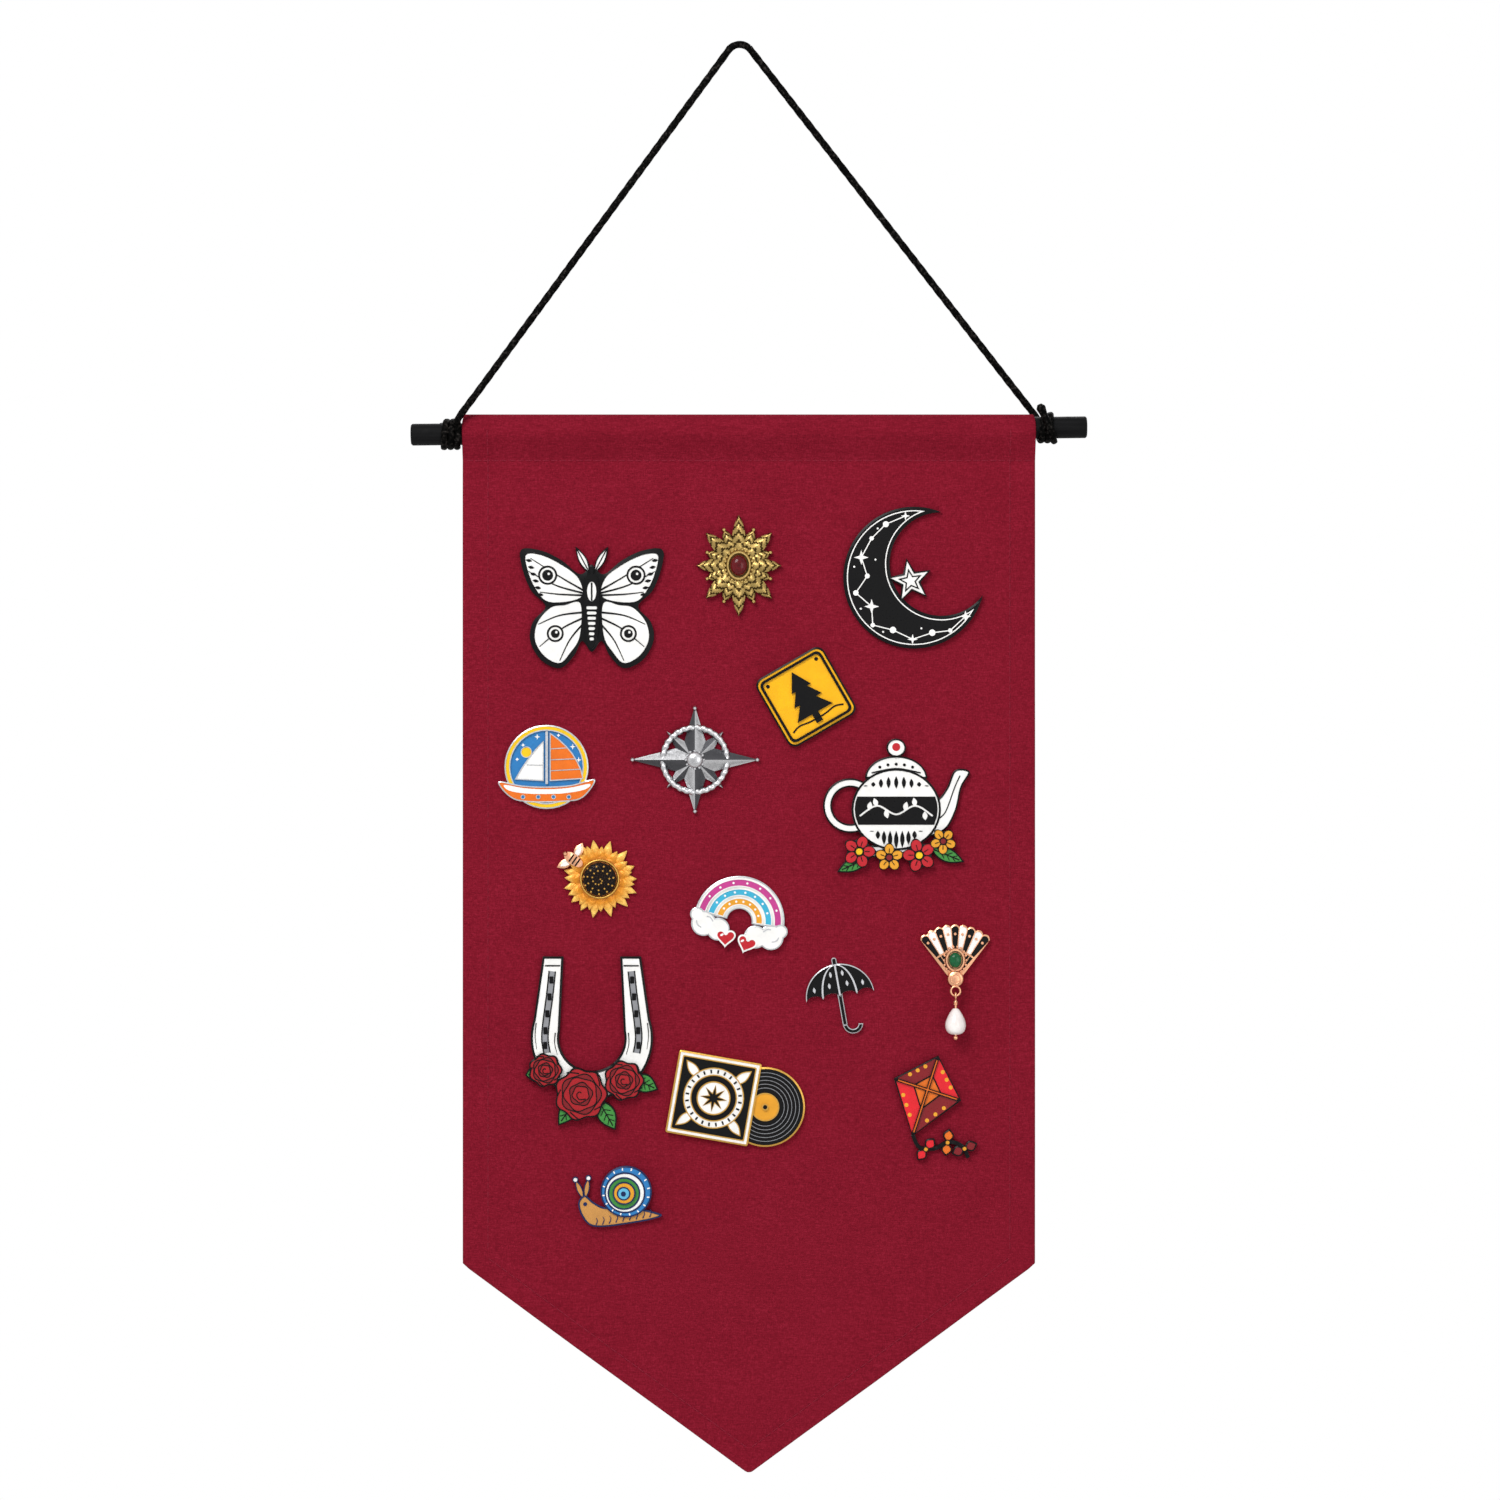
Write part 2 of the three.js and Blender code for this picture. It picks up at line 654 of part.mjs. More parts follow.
// How far off the rod's axis a lead is, at a share of its standoff from the turns
const leadNear = (side, share) => turnRadius + ofSide(side, leadStandoffs) * share;

function leadFoot(side) {
  return byWinding(side, bannerHalf + ofSide(side, leadOuts), leadNear(side, 1), leadHeight);
}

// The two legs of the run meet in a corner above the nail, which the bend rounds off.
function cordCorner() {
  const nail = new THREE.Vector3(0, 0, cordRadius);
  const spread = leadFoot(-1).sub(nail).angleTo(leadFoot(1).sub(nail)) * half;
  return nail.setZ(cordRadius + cordBend * (1 / Math.sin(spread) - 1));
}

const corner = cordCorner();
const legToCorner = (side) => corner.clone().sub(leadFoot(side)).normalize();

function runPoints() {
  const [left, right] = [-1, 1].map((side) => legToCorner(side));
  const spread = left.angleTo(right) * half;
  const reach = cordBend / Math.tan(spread);
  const starts = [-1, 1].map((side) =>
    leadFoot(side).addScaledVector(legToCorner(side), cordDiameter + cordJoint));
  const bends = [left, right].map((way) => corner.clone().addScaledVector(way, -reach));
  const inward = left.clone().add(right).negate().normalize();
  const centre = corner.clone().addScaledVector(inward, cordBend / Math.sin(spread));
  const legSteps = 14;
  const bendSteps = 6;
  const leg = (side) => Array.from({ length: legSteps }, (_, i) =>
    starts[side].clone().lerp(bends[side], i / legSteps));
  const [from, to] = bends.map((p) => p.clone().sub(centre));
  const bend = Array.from({ length: bendSteps + 1 }, (_, i) =>
    from.clone().lerp(to, i / bendSteps).setLength(cordBend).add(centre));
  return [...leg(0), ...bend, ...leg(1).reverse()];
}

// A winding's tail, as its places outward, near and up. The left one rises behind the rod. The right
// one swings in front of the turns and stands up above them.
function tailPlaces(side, lastTurn) {
  if (side < 0) {
    return [half, 1].map((t) => [lastTurn + turnGap * t, -turnRadius, tailRise * t]);
  }
  const swingSteps = 6;
  const swing = Array.from({ length: swingSteps }, (_, i) => {
    const t = (i + 1) / swingSteps;
    const angle = t * quarterTurn;
    const radius = turnRadius + knotStandoff * Math.sin(angle);
    return [lastTurn - knotSwing * t * t, -radius * Math.sin(angle), -radius * Math.cos(angle)];
  });
  const [out, near] = swing[swingSteps - 1];
  const rise = [half, 1].map((t) => [out - knotLean * t, near, knotRise * t]);
  return [...swing, ...rise];
}

function windingPoints(side) {
  const points = [];
  const way = legToCorner(side);
  [1, half, 0].forEach((t) => points.push(leadFoot(side).addScaledVector(way, t * cordDiameter)));
  points.push(byWinding(side, firstTurn, leadNear(side, half), entryHeight));
  const turns = ofSide(side, [leftTurns, rightTurns]);
  const steps = turns * stepsPerTurn;
  for (let i = 0; i <= steps; i += 1) {
    const angle = (-i / stepsPerTurn) * 2 * Math.PI;
    const out = firstTurn + (turnPitch * i) / stepsPerTurn;
    points.push(byWinding(side, out, turnRadius * Math.cos(angle), turnRadius * Math.sin(angle)));
  }
  const tail = tailPlaces(side, firstTurn + turnPitch * turns);
  return [...points, ...tail.map((place) => byWinding(side, ...place))];
}

// Least gap of a winding to itself, between points more than a diameter and a half apart along it
function leastGap(points) {
  const path = new THREE.CatmullRomCurve3(points).getSpacedPoints(points.length * 4);
  const step = path[0].distanceTo(path[1]);
  const apart = Math.ceil((cordDiameter * 3 * half) / step);
  let least = Infinity;
  path.forEach((p, i) => path.slice(i + apart).forEach((q) => {
    least = Math.min(least, p.distanceTo(q) - cordDiameter);
  }));
  return least;
}

addMesh('hanging_cord', tube(runPoints(), cordRadius, wireSides, runSteps), blackCord);
[['winding_left', -1], ['winding_right', 1]].forEach(([name, side]) => {
  const points = windingPoints(side);
  console.log(`${name}: least gap to itself ${leastGap(points).toFixed(2)} mm`);
  addMesh(name, tube(points, cordRadius, windingSides, points.length), blackCord);
});
console.log(`hanging_cord: ${new THREE.CatmullRomCurve3(runPoints()).getLength().toFixed(1)} mm`);

// Badges, each with its posts, and a clutch on every post
const boreRadius = postRadius + postClearance;
const boreEnd = postLength - badgeGap * 2 - clothThickness + postClearance;
const flangeRadius = flangeDiameter * half;
const capRadius = capDiameter * half;
const clutch = () => turned([
  [0, boreEnd], [boreRadius, boreEnd], [boreRadius, 0], [flangeRadius, 0], [flangeRadius, flangeThickness],
  [capRadius, flangeThickness + capRound], [capRadius - capRound, clutchHeight], [0, clutchHeight],
], clutchSides);

badges.forEach((badge) => {
  const [name, , , , material, design, posts] = badge;
  const pins = posts.map(([u, v]) => post().translate(u, 0, v));
  addMesh(`badge_${name}`, place(toGeometry(joined([...design(), ...pins])), badge, badgeBack), material);
  postPlaces(badge).forEach(([u, v], i) => {
    addMesh(`clutch_${name}_${'ab'[i]}`, clutch().translate(u, clutchFront, v), rubber);
  });
});

// Stones, seed disc and drop
const badgeNamed = (name) => badges.find(([found]) => found === name);

function dome(radius, height, sides = roundSides) {
  return turnedToFront([
    [0, 0], [radius, 0], [radius, height * 0.3], [radius * 0.86, height * 0.7],
    [radius * 0.5, height * 0.94], [0, height],
  ], sides);
}

const stoneLevel = badgeBack - relief - stoneGap;
addMesh('red_stone', place(
  dome(redStoneRadius, redStoneHeight).scale(1, 1, stoneStretch), badgeNamed('leaf_burst'), stoneLevel,
), finish(0x8c1420, 0.15));
addMesh('green_stone', place(
  dome(greenStoneRadius, greenStoneHeight, roundSides * half).scale(1, 1, stoneStretch)
    .translate(fanStone[0], 0, fanStone[1]), badgeNamed('fan'), stoneLevel,
), finish(0x1f7a4a, 0.15));
addMesh('seed_disc', place(dome(seedRadius, seedHeight), badgeNamed('sunflower'), stoneLevel),
  finish(0x1c1512, 0.5));

// The drop: a wire hooked through the fan's ring, down through a drilled pearl
const hookCentre = eyeCentre[1] - eyeRadius;
const pearlTop = hookCentre - hookRadius - wireRadius - pearlDrop;
const pearlEnd = pearlTop - pearlLength;
const beadRadius = dropTail;
const dropLevel = badgeBack - eyeLevel;
const hook = new THREE.TorusGeometry(hookRadius, wireRadius, wireSides, roundSides * half);
hook.rotateY(quarterTurn).translate(0, 0, hookCentre);
const stemTop = hookCentre - hookRadius;
const stemLength = stemTop - (pearlEnd - stoneGap - beadRadius);
const stem = new THREE.CylinderGeometry(wireRadius, wireRadius, stemLength, wireSides);
stem.rotateX(quarterTurn).translate(0, 0, stemTop - stemLength * half);
const bead = new THREE.SphereGeometry(beadRadius, wireSides, wireSides * half);
bead.translate(0, 0, pearlEnd - stoneGap - beadRadius);
addMesh('drop_wire', place(toGeometry(joined([hook, stem, bead])), badgeNamed('fan'), dropLevel), gold);

const drill = wireRadius + stoneGap;
const pearlRadius = pearlWidth * half;
const pearlOutline = [
  [0.3, 0], [0.68, 0.06], [0.93, 0.2], [1, 0.36], [0.93, 0.53], [0.72, 0.72], [0.44, 0.9], [0.26, 1],
].map(([r, t]) => [r * pearlRadius, t * pearlLength]);
const pearl = turned([
  [drill, 0], ...pearlOutline, [drill, pearlLength], [drill, 0],
], roundSides * half).rotateX(quarterTurn);
addMesh('pearl', place(pearl.translate(0, 0, pearlEnd), badgeNamed('fan'), dropLevel),
  finish(0xe8e0d4, 0.25));

export default part;
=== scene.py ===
"""A cloth pennant hung by a cord, with enamel pin badges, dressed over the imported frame.

Lengths are in millimetres until an object is made, +Z is up and the front faces -Y.
A badge is drawn in its own plane as (across, up, level toward the viewer).
"""
from math import acos, atan2, cos, degrees, exp, hypot, pi, radians, sin, sqrt, tan, tau

import bpy
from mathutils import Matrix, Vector, geometry, noise

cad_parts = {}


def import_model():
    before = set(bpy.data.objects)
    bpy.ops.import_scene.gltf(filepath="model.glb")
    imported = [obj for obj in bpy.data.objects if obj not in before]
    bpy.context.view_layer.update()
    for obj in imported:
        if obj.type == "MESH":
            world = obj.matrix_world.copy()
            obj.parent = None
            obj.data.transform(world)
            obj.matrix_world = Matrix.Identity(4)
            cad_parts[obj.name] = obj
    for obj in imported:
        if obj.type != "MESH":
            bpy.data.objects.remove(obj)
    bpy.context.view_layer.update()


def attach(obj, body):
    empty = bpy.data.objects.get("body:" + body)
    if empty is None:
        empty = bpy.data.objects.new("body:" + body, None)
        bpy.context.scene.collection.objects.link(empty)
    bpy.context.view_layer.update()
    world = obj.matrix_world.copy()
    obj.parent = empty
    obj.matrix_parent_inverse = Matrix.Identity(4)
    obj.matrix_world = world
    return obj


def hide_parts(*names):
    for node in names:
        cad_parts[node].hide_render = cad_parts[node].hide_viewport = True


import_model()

MM = 0.001

# Cloth
BANNER_WIDTH = 210
SHOULDER_DEPTH = 312  # top fold to the two shoulders
TIP_DEPTH = 389  # top fold to the lower point
CLOTH_THICKNESS = 0.7
SEAM_DEPTH = 17  # top fold to the sleeve's seam
SIDE_HEM = 10.4
POINT_HEM = 8.4
SIDE_STITCH = 9.2  # edge to the line of stitches
POINT_STITCH = 7.3
HANG_HEIGHT = 134.6
HANG_OFFSET = 3.5

# Rod
ROD_DIAMETER = 8
ROD_OVERHANG = 19
ROD_CHAMFER = 0.6
ROD_TILT = radians(0.64)
SLEEVE_CLEARANCE = 0.3

# Cord
CORD_DIAMETER = 2.5
CORD_BEND = 5
TURN_GAP = 0.55
LEFT_TURNS = 2.5
RIGHT_TURNS = 2.25
WINDING_CLEARANCE = 0.3
LEAD_HEIGHT = 5.6  # where the run meets a winding, above the rod's axis
LEAD_OUTS = (0.95, 0.25)  # and outside the cloth's left and right edges
LEAD_STANDOFFS = (1, 2.4)  # and clear of the loose turns, in front of the left one and behind the right one
ENTRY_HEIGHT = 3  # where it swings in to the first turn, above the rod's axis
TAIL_RISE = 4.6  # the left tail's end, above the rod's axis
KNOT_STANDOFF = 2.05  # the right tail swings that far off the pressed turns
KNOT_SWING = 2.2  # and inward
KNOT_LEAN = 3.6  # and goes on leaning inward
KNOT_RISE = 8.2  # to its end, above the rod's axis

# Badges and clutches
PLATE = 1.6
RELIEF = 2.2
HIGH_RELIEF = 2.8
RECESS = 0.2  # enamel below its metal lines
LINE = 0.6  # metal line round an enamel cell
RIM_FALL = 0.25  # how far a plate's rim falls to its outer edge
BADGE_GAP = 0.3
POST_RADIUS = 0.6
POST_LENGTH = 8
POST_POINT = 1.4
POST_FOOT = 1.3
CLUTCH_HEIGHT = 7.5
FLANGE_RADIUS = 5
CAP_RADIUS = 3.5
BORE_RADIUS = 0.9

# Stones and drop
STONE_GAP = 0.3
RED_STONE = (3.2, 2.8)  # radius, height
GREEN_STONE = (2.3, 1.8)
STONE_STRETCH = 1.2
BEZEL_WALL = 1.1
BEZEL_RISE = 1.1
SEED_RADIUS = 6.4
PETAL_REACH = 14.4
SEED_HEIGHT = 2.4
SEEDS = 150
EYE_RADIUS = 1.7
WIRE_RADIUS = 0.4
EYE_LEVEL = 4.9
HOOK_RADIUS = 1.2
PEARL_WIDTH = 7.6
PEARL_LENGTH = 9.6
PEARL_DROP = 3
DROP_TAIL = 0.9
COIL_RADIUS = 0.62

BANNER_HALF = BANNER_WIDTH / 2
BANNER_TOP = -HANG_HEIGHT
SEAM = BANNER_TOP - SEAM_DEPTH
SHOULDER = BANNER_TOP - SHOULDER_DEPTH
TIP = BANNER_TOP - TIP_DEPTH
POINT_DEPTH = TIP_DEPTH - SHOULDER_DEPTH
ROD_RADIUS = ROD_DIAMETER / 2
CORD_RADIUS = CORD_DIAMETER / 2
SLEEVE_OUTER = ROD_RADIUS + SLEEVE_CLEARANCE + CLOTH_THICKNESS
SLEEVE_CENTRE = BANNER_TOP - SLEEVE_OUTER
TILT_DROP = BANNER_WIDTH * tan(ROD_TILT)
ROD_CENTRE = Vector((HANG_OFFSET, 0, SLEEVE_CENTRE - TILT_DROP / 2))
ROD_ALONG = Vector((cos(ROD_TILT), 0, sin(ROD_TILT)))
ROD_UP = Vector((-sin(ROD_TILT), 0, cos(ROD_TILT)))
CLOTH_FRONT = -CLOTH_THICKNESS / 2
BADGE_BACK = CLOTH_FRONT - BADGE_GAP
CLUTCH_FRONT = CLOTH_THICKNESS / 2 + BADGE_GAP

# name: (across from the banner's middle, down from its top fold, clockwise degrees, posts)
BADGES = {
    "moth": (-57.6, 71.8, 0, [(-11, 9), (11, 9)]),
    "leaf_burst": (-3.7, 55.7, 0, [(-6.4, 0), (6.4, 0)]),
    "crescent": (60.6, 60.1, 0, [(-17.6, 2), (-6, -17)]),
    "sign": (20.9, 103.8, -30, [(-7, 0), (7, 0)]),
    "boat": (-74.2, 129.5, 0, [(-7, -2), (7, -2)]),
    "compass": (-19.8, 126.9, 0, [(-8, 0), (8, 0)]),
    "teapot": (54, 143.1, 0, [(-7.4, -2), (7.4, -2)]),
    "sunflower": (-54.7, 170.6, 0, [(-6, 0), (6, 0)]),
    "rainbow": (-2.6, 181.6, 12, [(-9.6, 0), (9.6, 0)]),
    "umbrella": (33.4, 213.2, -10, [(-6, 4.6), (6, 4.6)]),
    "fan": (75.6, 196.7, 0, [(-6.4, 3), (6.4, 3)]),
    "horseshoe": (-57.6, 229, 0, [(-16, 6), (16, 6)]),
    "record": (-3.7, 252.5, 10, [(-10, 3), (10, 3)]),
    "kite": (63.9, 252.5, 18, [(0, 9), (0, -4)]),
    "snail": (-48.1, 287.3, -9, [(-2.6, 0), (9.4, 0)]),
}

# Camera
LENS = 100
SENSOR = 36
VIEW_WIDTH = 550.7  # what the frame takes in at the cloth
VIEW_CENTRE = (3.9, -257.9)


def make_camera():
    data = bpy.data.cameras.new("camera")
    data.lens = LENS
    data.sensor_width = SENSOR
    camera = bpy.data.objects.new("camera", data)
    camera.location = Vector((VIEW_CENTRE[0], -VIEW_WIDTH * LENS / SENSOR, VIEW_CENTRE[1])) * MM
    camera.rotation_euler = (pi / 2, 0, 0)
    bpy.context.collection.objects.link(camera)
    bpy.context.scene.camera = camera


make_camera()


# Outlines, as lists of (across, up). Leans are in degrees, angles in radians.
def spread(count):
    """Angles evenly round a turn."""
    return [tau * i / count for i in range(count)]


def polar(u, v, radius, angle):
    return u + radius * cos(angle), v + radius * sin(angle)


def placed(points, u, v, lean):
    """Points turned about the origin, then moved."""
    c, s = cos(radians(lean)), sin(radians(lean))
    return [(u + a * c - b * s, v + a * s + b * c) for a, b in points]


def ccw(outline):
    doubled = sum(a[0] * b[1] - b[0] * a[1] for a, b in zip(outline, outline[1:] + outline[:1]))
    return list(outline) if doubled > 0 else list(reversed(outline))


def inset(outline, by):
    """The outline moved inward, corner by corner."""
    points = [Vector(p) for p in ccw(outline)]
    moved = []
    for i, p in enumerate(points):
        before = (p - points[i - 1]).normalized()
        after = (points[(i + 1) % len(points)] - p).normalized()
        left = Vector((-before.y, before.x))
        right = Vector((-after.y, after.x))
        moved.append(tuple(p + (left + right) * by / max(0.5, 1 + left.dot(right))))
    return moved


def oval(u, v, across, up=None, sides=40, lean=0):
    up = across if up is None else up
    return placed([(across * cos(a), up * sin(a)) for a in spread(sides)], u, v, lean)


def dot(u, v, radius, sides=16):
    return oval(u, v, radius, sides=sides)


def arc(u, v, radius, start, end, steps):
    return [polar(u, v, radius, radians(start + (end - start) * i / steps)) for i in range(steps + 1)]


def band(v, outer, inner, start, end, steps, inner_steps):
    """An arch about (0, v)."""
    return arc(0, v, outer, start, end, steps) + arc(0, v, inner, end, start, inner_steps)


def curve(knots, steps, closed=False):
    """Points on a smooth line through the knots."""
    knots = [Vector(k) for k in knots]
    count = len(knots)
    points = []
    for i in range(count if closed else count - 1):
        near = [i + k for k in (-1, 0, 1, 2)]
        a, b, c, d = (knots[k % count if closed else min(max(k, 0), count - 1)] for k in near)
        for k in range(steps):
            t = k / steps
            points.append(0.5 * (
                2 * b + (c - a) * t + (2 * a - 5 * b + 4 * c - d) * t * t + (3 * b - a - 3 * c + d) * t ** 3
            ))
    return points if closed else points + [knots[-1]]


def drawn(knots):
    return [tuple(p) for p in curve(knots, 6, closed=True)]


def mirrored(right_half):
    return right_half + [(-u, v) for u, v in reversed(right_half) if u > 0]


def flipped(outline):
    return [(-u, v) for u, v in outline]


def both(outline):
    return outline, flipped(outline)


def stroke(knots, width, taper=1):
    """A line of that width through the knots, as an outline. taper is the end's share of the width."""
    line = [Vector(p) for p in (curve(knots, 6) if len(knots) > 2 else knots)]
    last = len(line) - 1
    sides = ([], [])
    for i, p in enumerate(line):
        way = (line[min(i + 1, last)] - line[max(i - 1, 0)]).normalized()
        out = Vector((-way.y, way.x)) * width / 2 * (1 + (taper - 1) * i / last)
        sides[0].append(tuple(p - out))
        sides[1].append(tuple(p + out))
    return sides[0] + sides[1][::-1]


def leaf(u, v, lean, length, width):
    steps = 10
    shares = [i / steps for i in range(steps * 2)]
    return placed([(length * min(t, 2 - t), -width / 2 * sin(pi * t)) for t in shares], u, v, lean)


def flower(u, v, radius, petals, dip, lean=0):
    steps = 8
    return [
        polar(u, v, radius * (1 - dip / 2 * (1 - cos(petals * angle))), angle + lean)
        for angle in spread(petals * steps)
    ]


def star(u, v, outer, inner, points, lean):
    return [
        polar(u, v, inner if i % 2 else outer, radians(lean) + i * pi / points)
        for i in range(points * 2)
    ]


def heart(u, v, size, lean):
    points = []
    for t in spread(40):
        wave = 13 * cos(t) - 5 * cos(2 * t) - 2 * cos(3 * t) - cos(4 * t)
        points.append((size * sin(t) ** 3 / 2, size * (wave + 2.5) / 32))
    return placed(points, u, v, lean)


def rounded_box(u, v, across, up, radius):
    a, b = across / 2 - radius, up / 2 - radius
    corners = ((a, -b, -90), (a, b, 0), (-a, b, 90), (-a, -b, 180))
    return [p for x, y, start in corners for p in arc(u + x, v + y, radius, start, start + 90, 6)]


# Mesh work
FACE_ON = ((1, 0, 0), (0, 1, 0))
HOOP_SIDES = 12  # round the wire
WELD = 1e-4


class Pile:
    """Vertices, faces and their looks, gathered for one object, and the layers of a plate to be struck."""

    def __init__(self):
        self.verts = []
        self.faces = []
        self.looks = []
        self.layers = []

    def add(self, verts, faces, look):
        start = len(self.verts)
        self.verts += [Vector(v) for v in verts]
        self.faces += [[start + i for i in face] for face in faces]
        self.looks += [look] * len(faces)

    def loft(self, rings, look):
        """A closed skin over rings that run anticlockwise about the way from the first to the last."""
        sides = len(rings[0])
        last = (len(rings) - 1) * sides
        faces = [
            (r + i, r + (i + 1) % sides, r + sides + (i + 1) % sides, r + sides + i)
            for r in range(0, last, sides)
            for i in range(sides)
        ]
        faces.append(tuple(reversed(range(sides))))
        faces.append(tuple(range(last, last + sides)))
        self.add([p for ring in rings for p in ring], faces, look)

    def turned(self, profile, look, at=(0, 0), stretch=1, sides=48):
        """A lathe piece whose axis points at the viewer, from (radius, level) pairs."""
        self.loft([
            [(at[0] + radius * cos(a), at[1] + radius * stretch * sin(a), level) for a in spread(sides)]
            for radius, level in profile
        ], look)

    def bead(self, centre, radius, look, sides=12):
        half_rings = sides // 2
        angles = [pi * k / half_rings - pi / 2 for k in range(1, half_rings)]
        profile = [(radius * cos(a), centre[2] + radius * sin(a)) for a in angles]
        self.turned(profile, look, centre, sides=sides)

    def tube(self, path, radius, look, sides=12, section=None, press=None):
        """A tube along a path, where section varies the radius and press flattens the surface."""
        path = [Vector(p) for p in path]
        rings = []
        normal = None
        for k, point in enumerate(path):
            ahead = (path[min(k + 1, len(path) - 1)] - path[max(k - 1, 0)]).normalized()
            if normal is None:
                normal = ahead.orthogonal()
            normal = (normal - ahead * normal.dot(ahead)).normalized()
            side = ahead.cross(normal)
            ring = []
            for angle in spread(sides):
                reach = section(angle, k) if section else radius
                offset = (normal * cos(angle) + side * sin(angle)) * reach
                ring.append(point + (press(point, offset) if press else offset))
            rings.append(ring)
        self.loft(rings, look)

    def hoop(self, centre, radius, wire, look, plane=FACE_ON, sides=36, section=None):
        """A closed ring of wire in the plane of two unit vectors."""
        centre, across, up = (Vector(v) for v in (centre, *plane))
        facing = across.cross(up)
        verts = []
        faces = []
        for k, angle in enumerate(spread(sides)):
            out = across * cos(angle) + up * sin(angle)
            for turn in spread(HOOP_SIDES):
                reach = section(angle, turn) if section else wire
                verts.append(centre + out * (radius + reach * cos(turn)) + facing * reach * sin(turn))
            here, ahead = k * HOOP_SIDES, (k + 1) % sides * HOOP_SIDES
            for i in range(HOOP_SIDES):
                beside = (i + 1) % HOOP_SIDES
                faces.append((here + i, ahead + i, ahead + beside, here + beside))
        self.add(verts, faces, look)

    def metal(self, level, look, *outlines):
        self.layers += [(outline, level, look) for outline in outlines]

    def paint(self, level, look, *outlines):
        self.metal(level - RECESS, look, *outlines)

    def cell(self, level, look, outline, rim="black", line=LINE):
        """A raised metal outline filled with enamel."""
        self.metal(level, rim, outline)
        self.paint(level, look, inset(outline, line))

    def strike(self):
        """A plate from the layers gathered so far, where a later one covers those before."""
        points = []
        rings = []
        for outline, _, _ in self.layers:
            rings.append(list(range(len(points), len(points) + len(outline))))
            points += [Vector(p) for p in ccw(outline)]
        flat, _, faces, _, _, owners = geometry.delaunay_2d_cdt(points, [], rings, 1, WELD, True)
        tops = [(face, self.layers[max(owner)]) for face, owner in zip(faces, owners) if owner]
        edges = {}
        for face, (_, level, look) in tops:
            for a, b in zip(face, face[1:] + face[:1]):
                edges[(a, b)] = (level, look)
        rim = {i for a, b in edges if (b, a) not in edges for i in (a, b)}
        levels = {i: {0} if i in rim else set() for edge in edges for i in edge}
        for edge, (level, _) in edges.items():
            for i in edge:
                levels[i].add(level)
        index = {}

        def corner(i, level):
            if (i, level) not in index:
                index[(i, level)] = len(self.verts)
                fall = RIM_FALL if level and i in rim else 0
                self.verts.append(Vector((flat[i].x, flat[i].y, level - fall)))
            return index[(i, level)]

        edge_look = self.layers[0][2]
        for face, (_, level, look) in tops:
            self.faces += [[corner(i, level) for i in face], [corner(i, 0) for i in reversed(face)]]
            self.looks += [look, edge_look]
        for (a, b), (level, look) in edges.items():
            beyond = edges.get((b, a), (0, None))[0]
            if level > beyond:
                up, down = (sorted(h for h in levels[i] if beyond <= h <= level) for i in (b, a))
                self.faces.append([corner(b, h) for h in up] + [corner(a, h) for h in reversed(down)])
                self.looks.append(look if beyond else edge_look)
        self.layers = []

    def made(self, name, body, place=None, *, slot, sharp=35, replaces=()):
        """The gathered mesh as an object that rides on a body."""
        mesh = bpy.data.meshes.new(name)
        mesh.from_pydata([(place(v) if place else v) * MM for v in self.verts], [], self.faces)
        looks = sorted(set(self.looks))
        for look in looks:
            mesh.materials.append(material(look))
        mesh.polygons.foreach_set("material_index", [looks.index(look) for look in self.looks])
        mesh.shade_smooth()
        mesh.set_sharp_from_angle(angle=radians(sharp))
        mesh.update()
        obj = bpy.data.objects.new(name, mesh)
        bpy.context.collection.objects.link(obj)
        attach(obj, body)
        if replaces:
            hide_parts(*replaces)
        return obj


# Looks
def linear(code):
    """A hex sRGB colour as linear RGBA."""
    parts = [(code >> shift & 255) / 255 for shift in (16, 8, 0)]
    return [c / 12.92 if c <= 0.04045 else ((c + 0.055) / 1.055) ** 2.4 for c in parts] + [1]


def shade(colour, factor):
    return [min(1, c * factor) for c in colour[:3]] + [1]


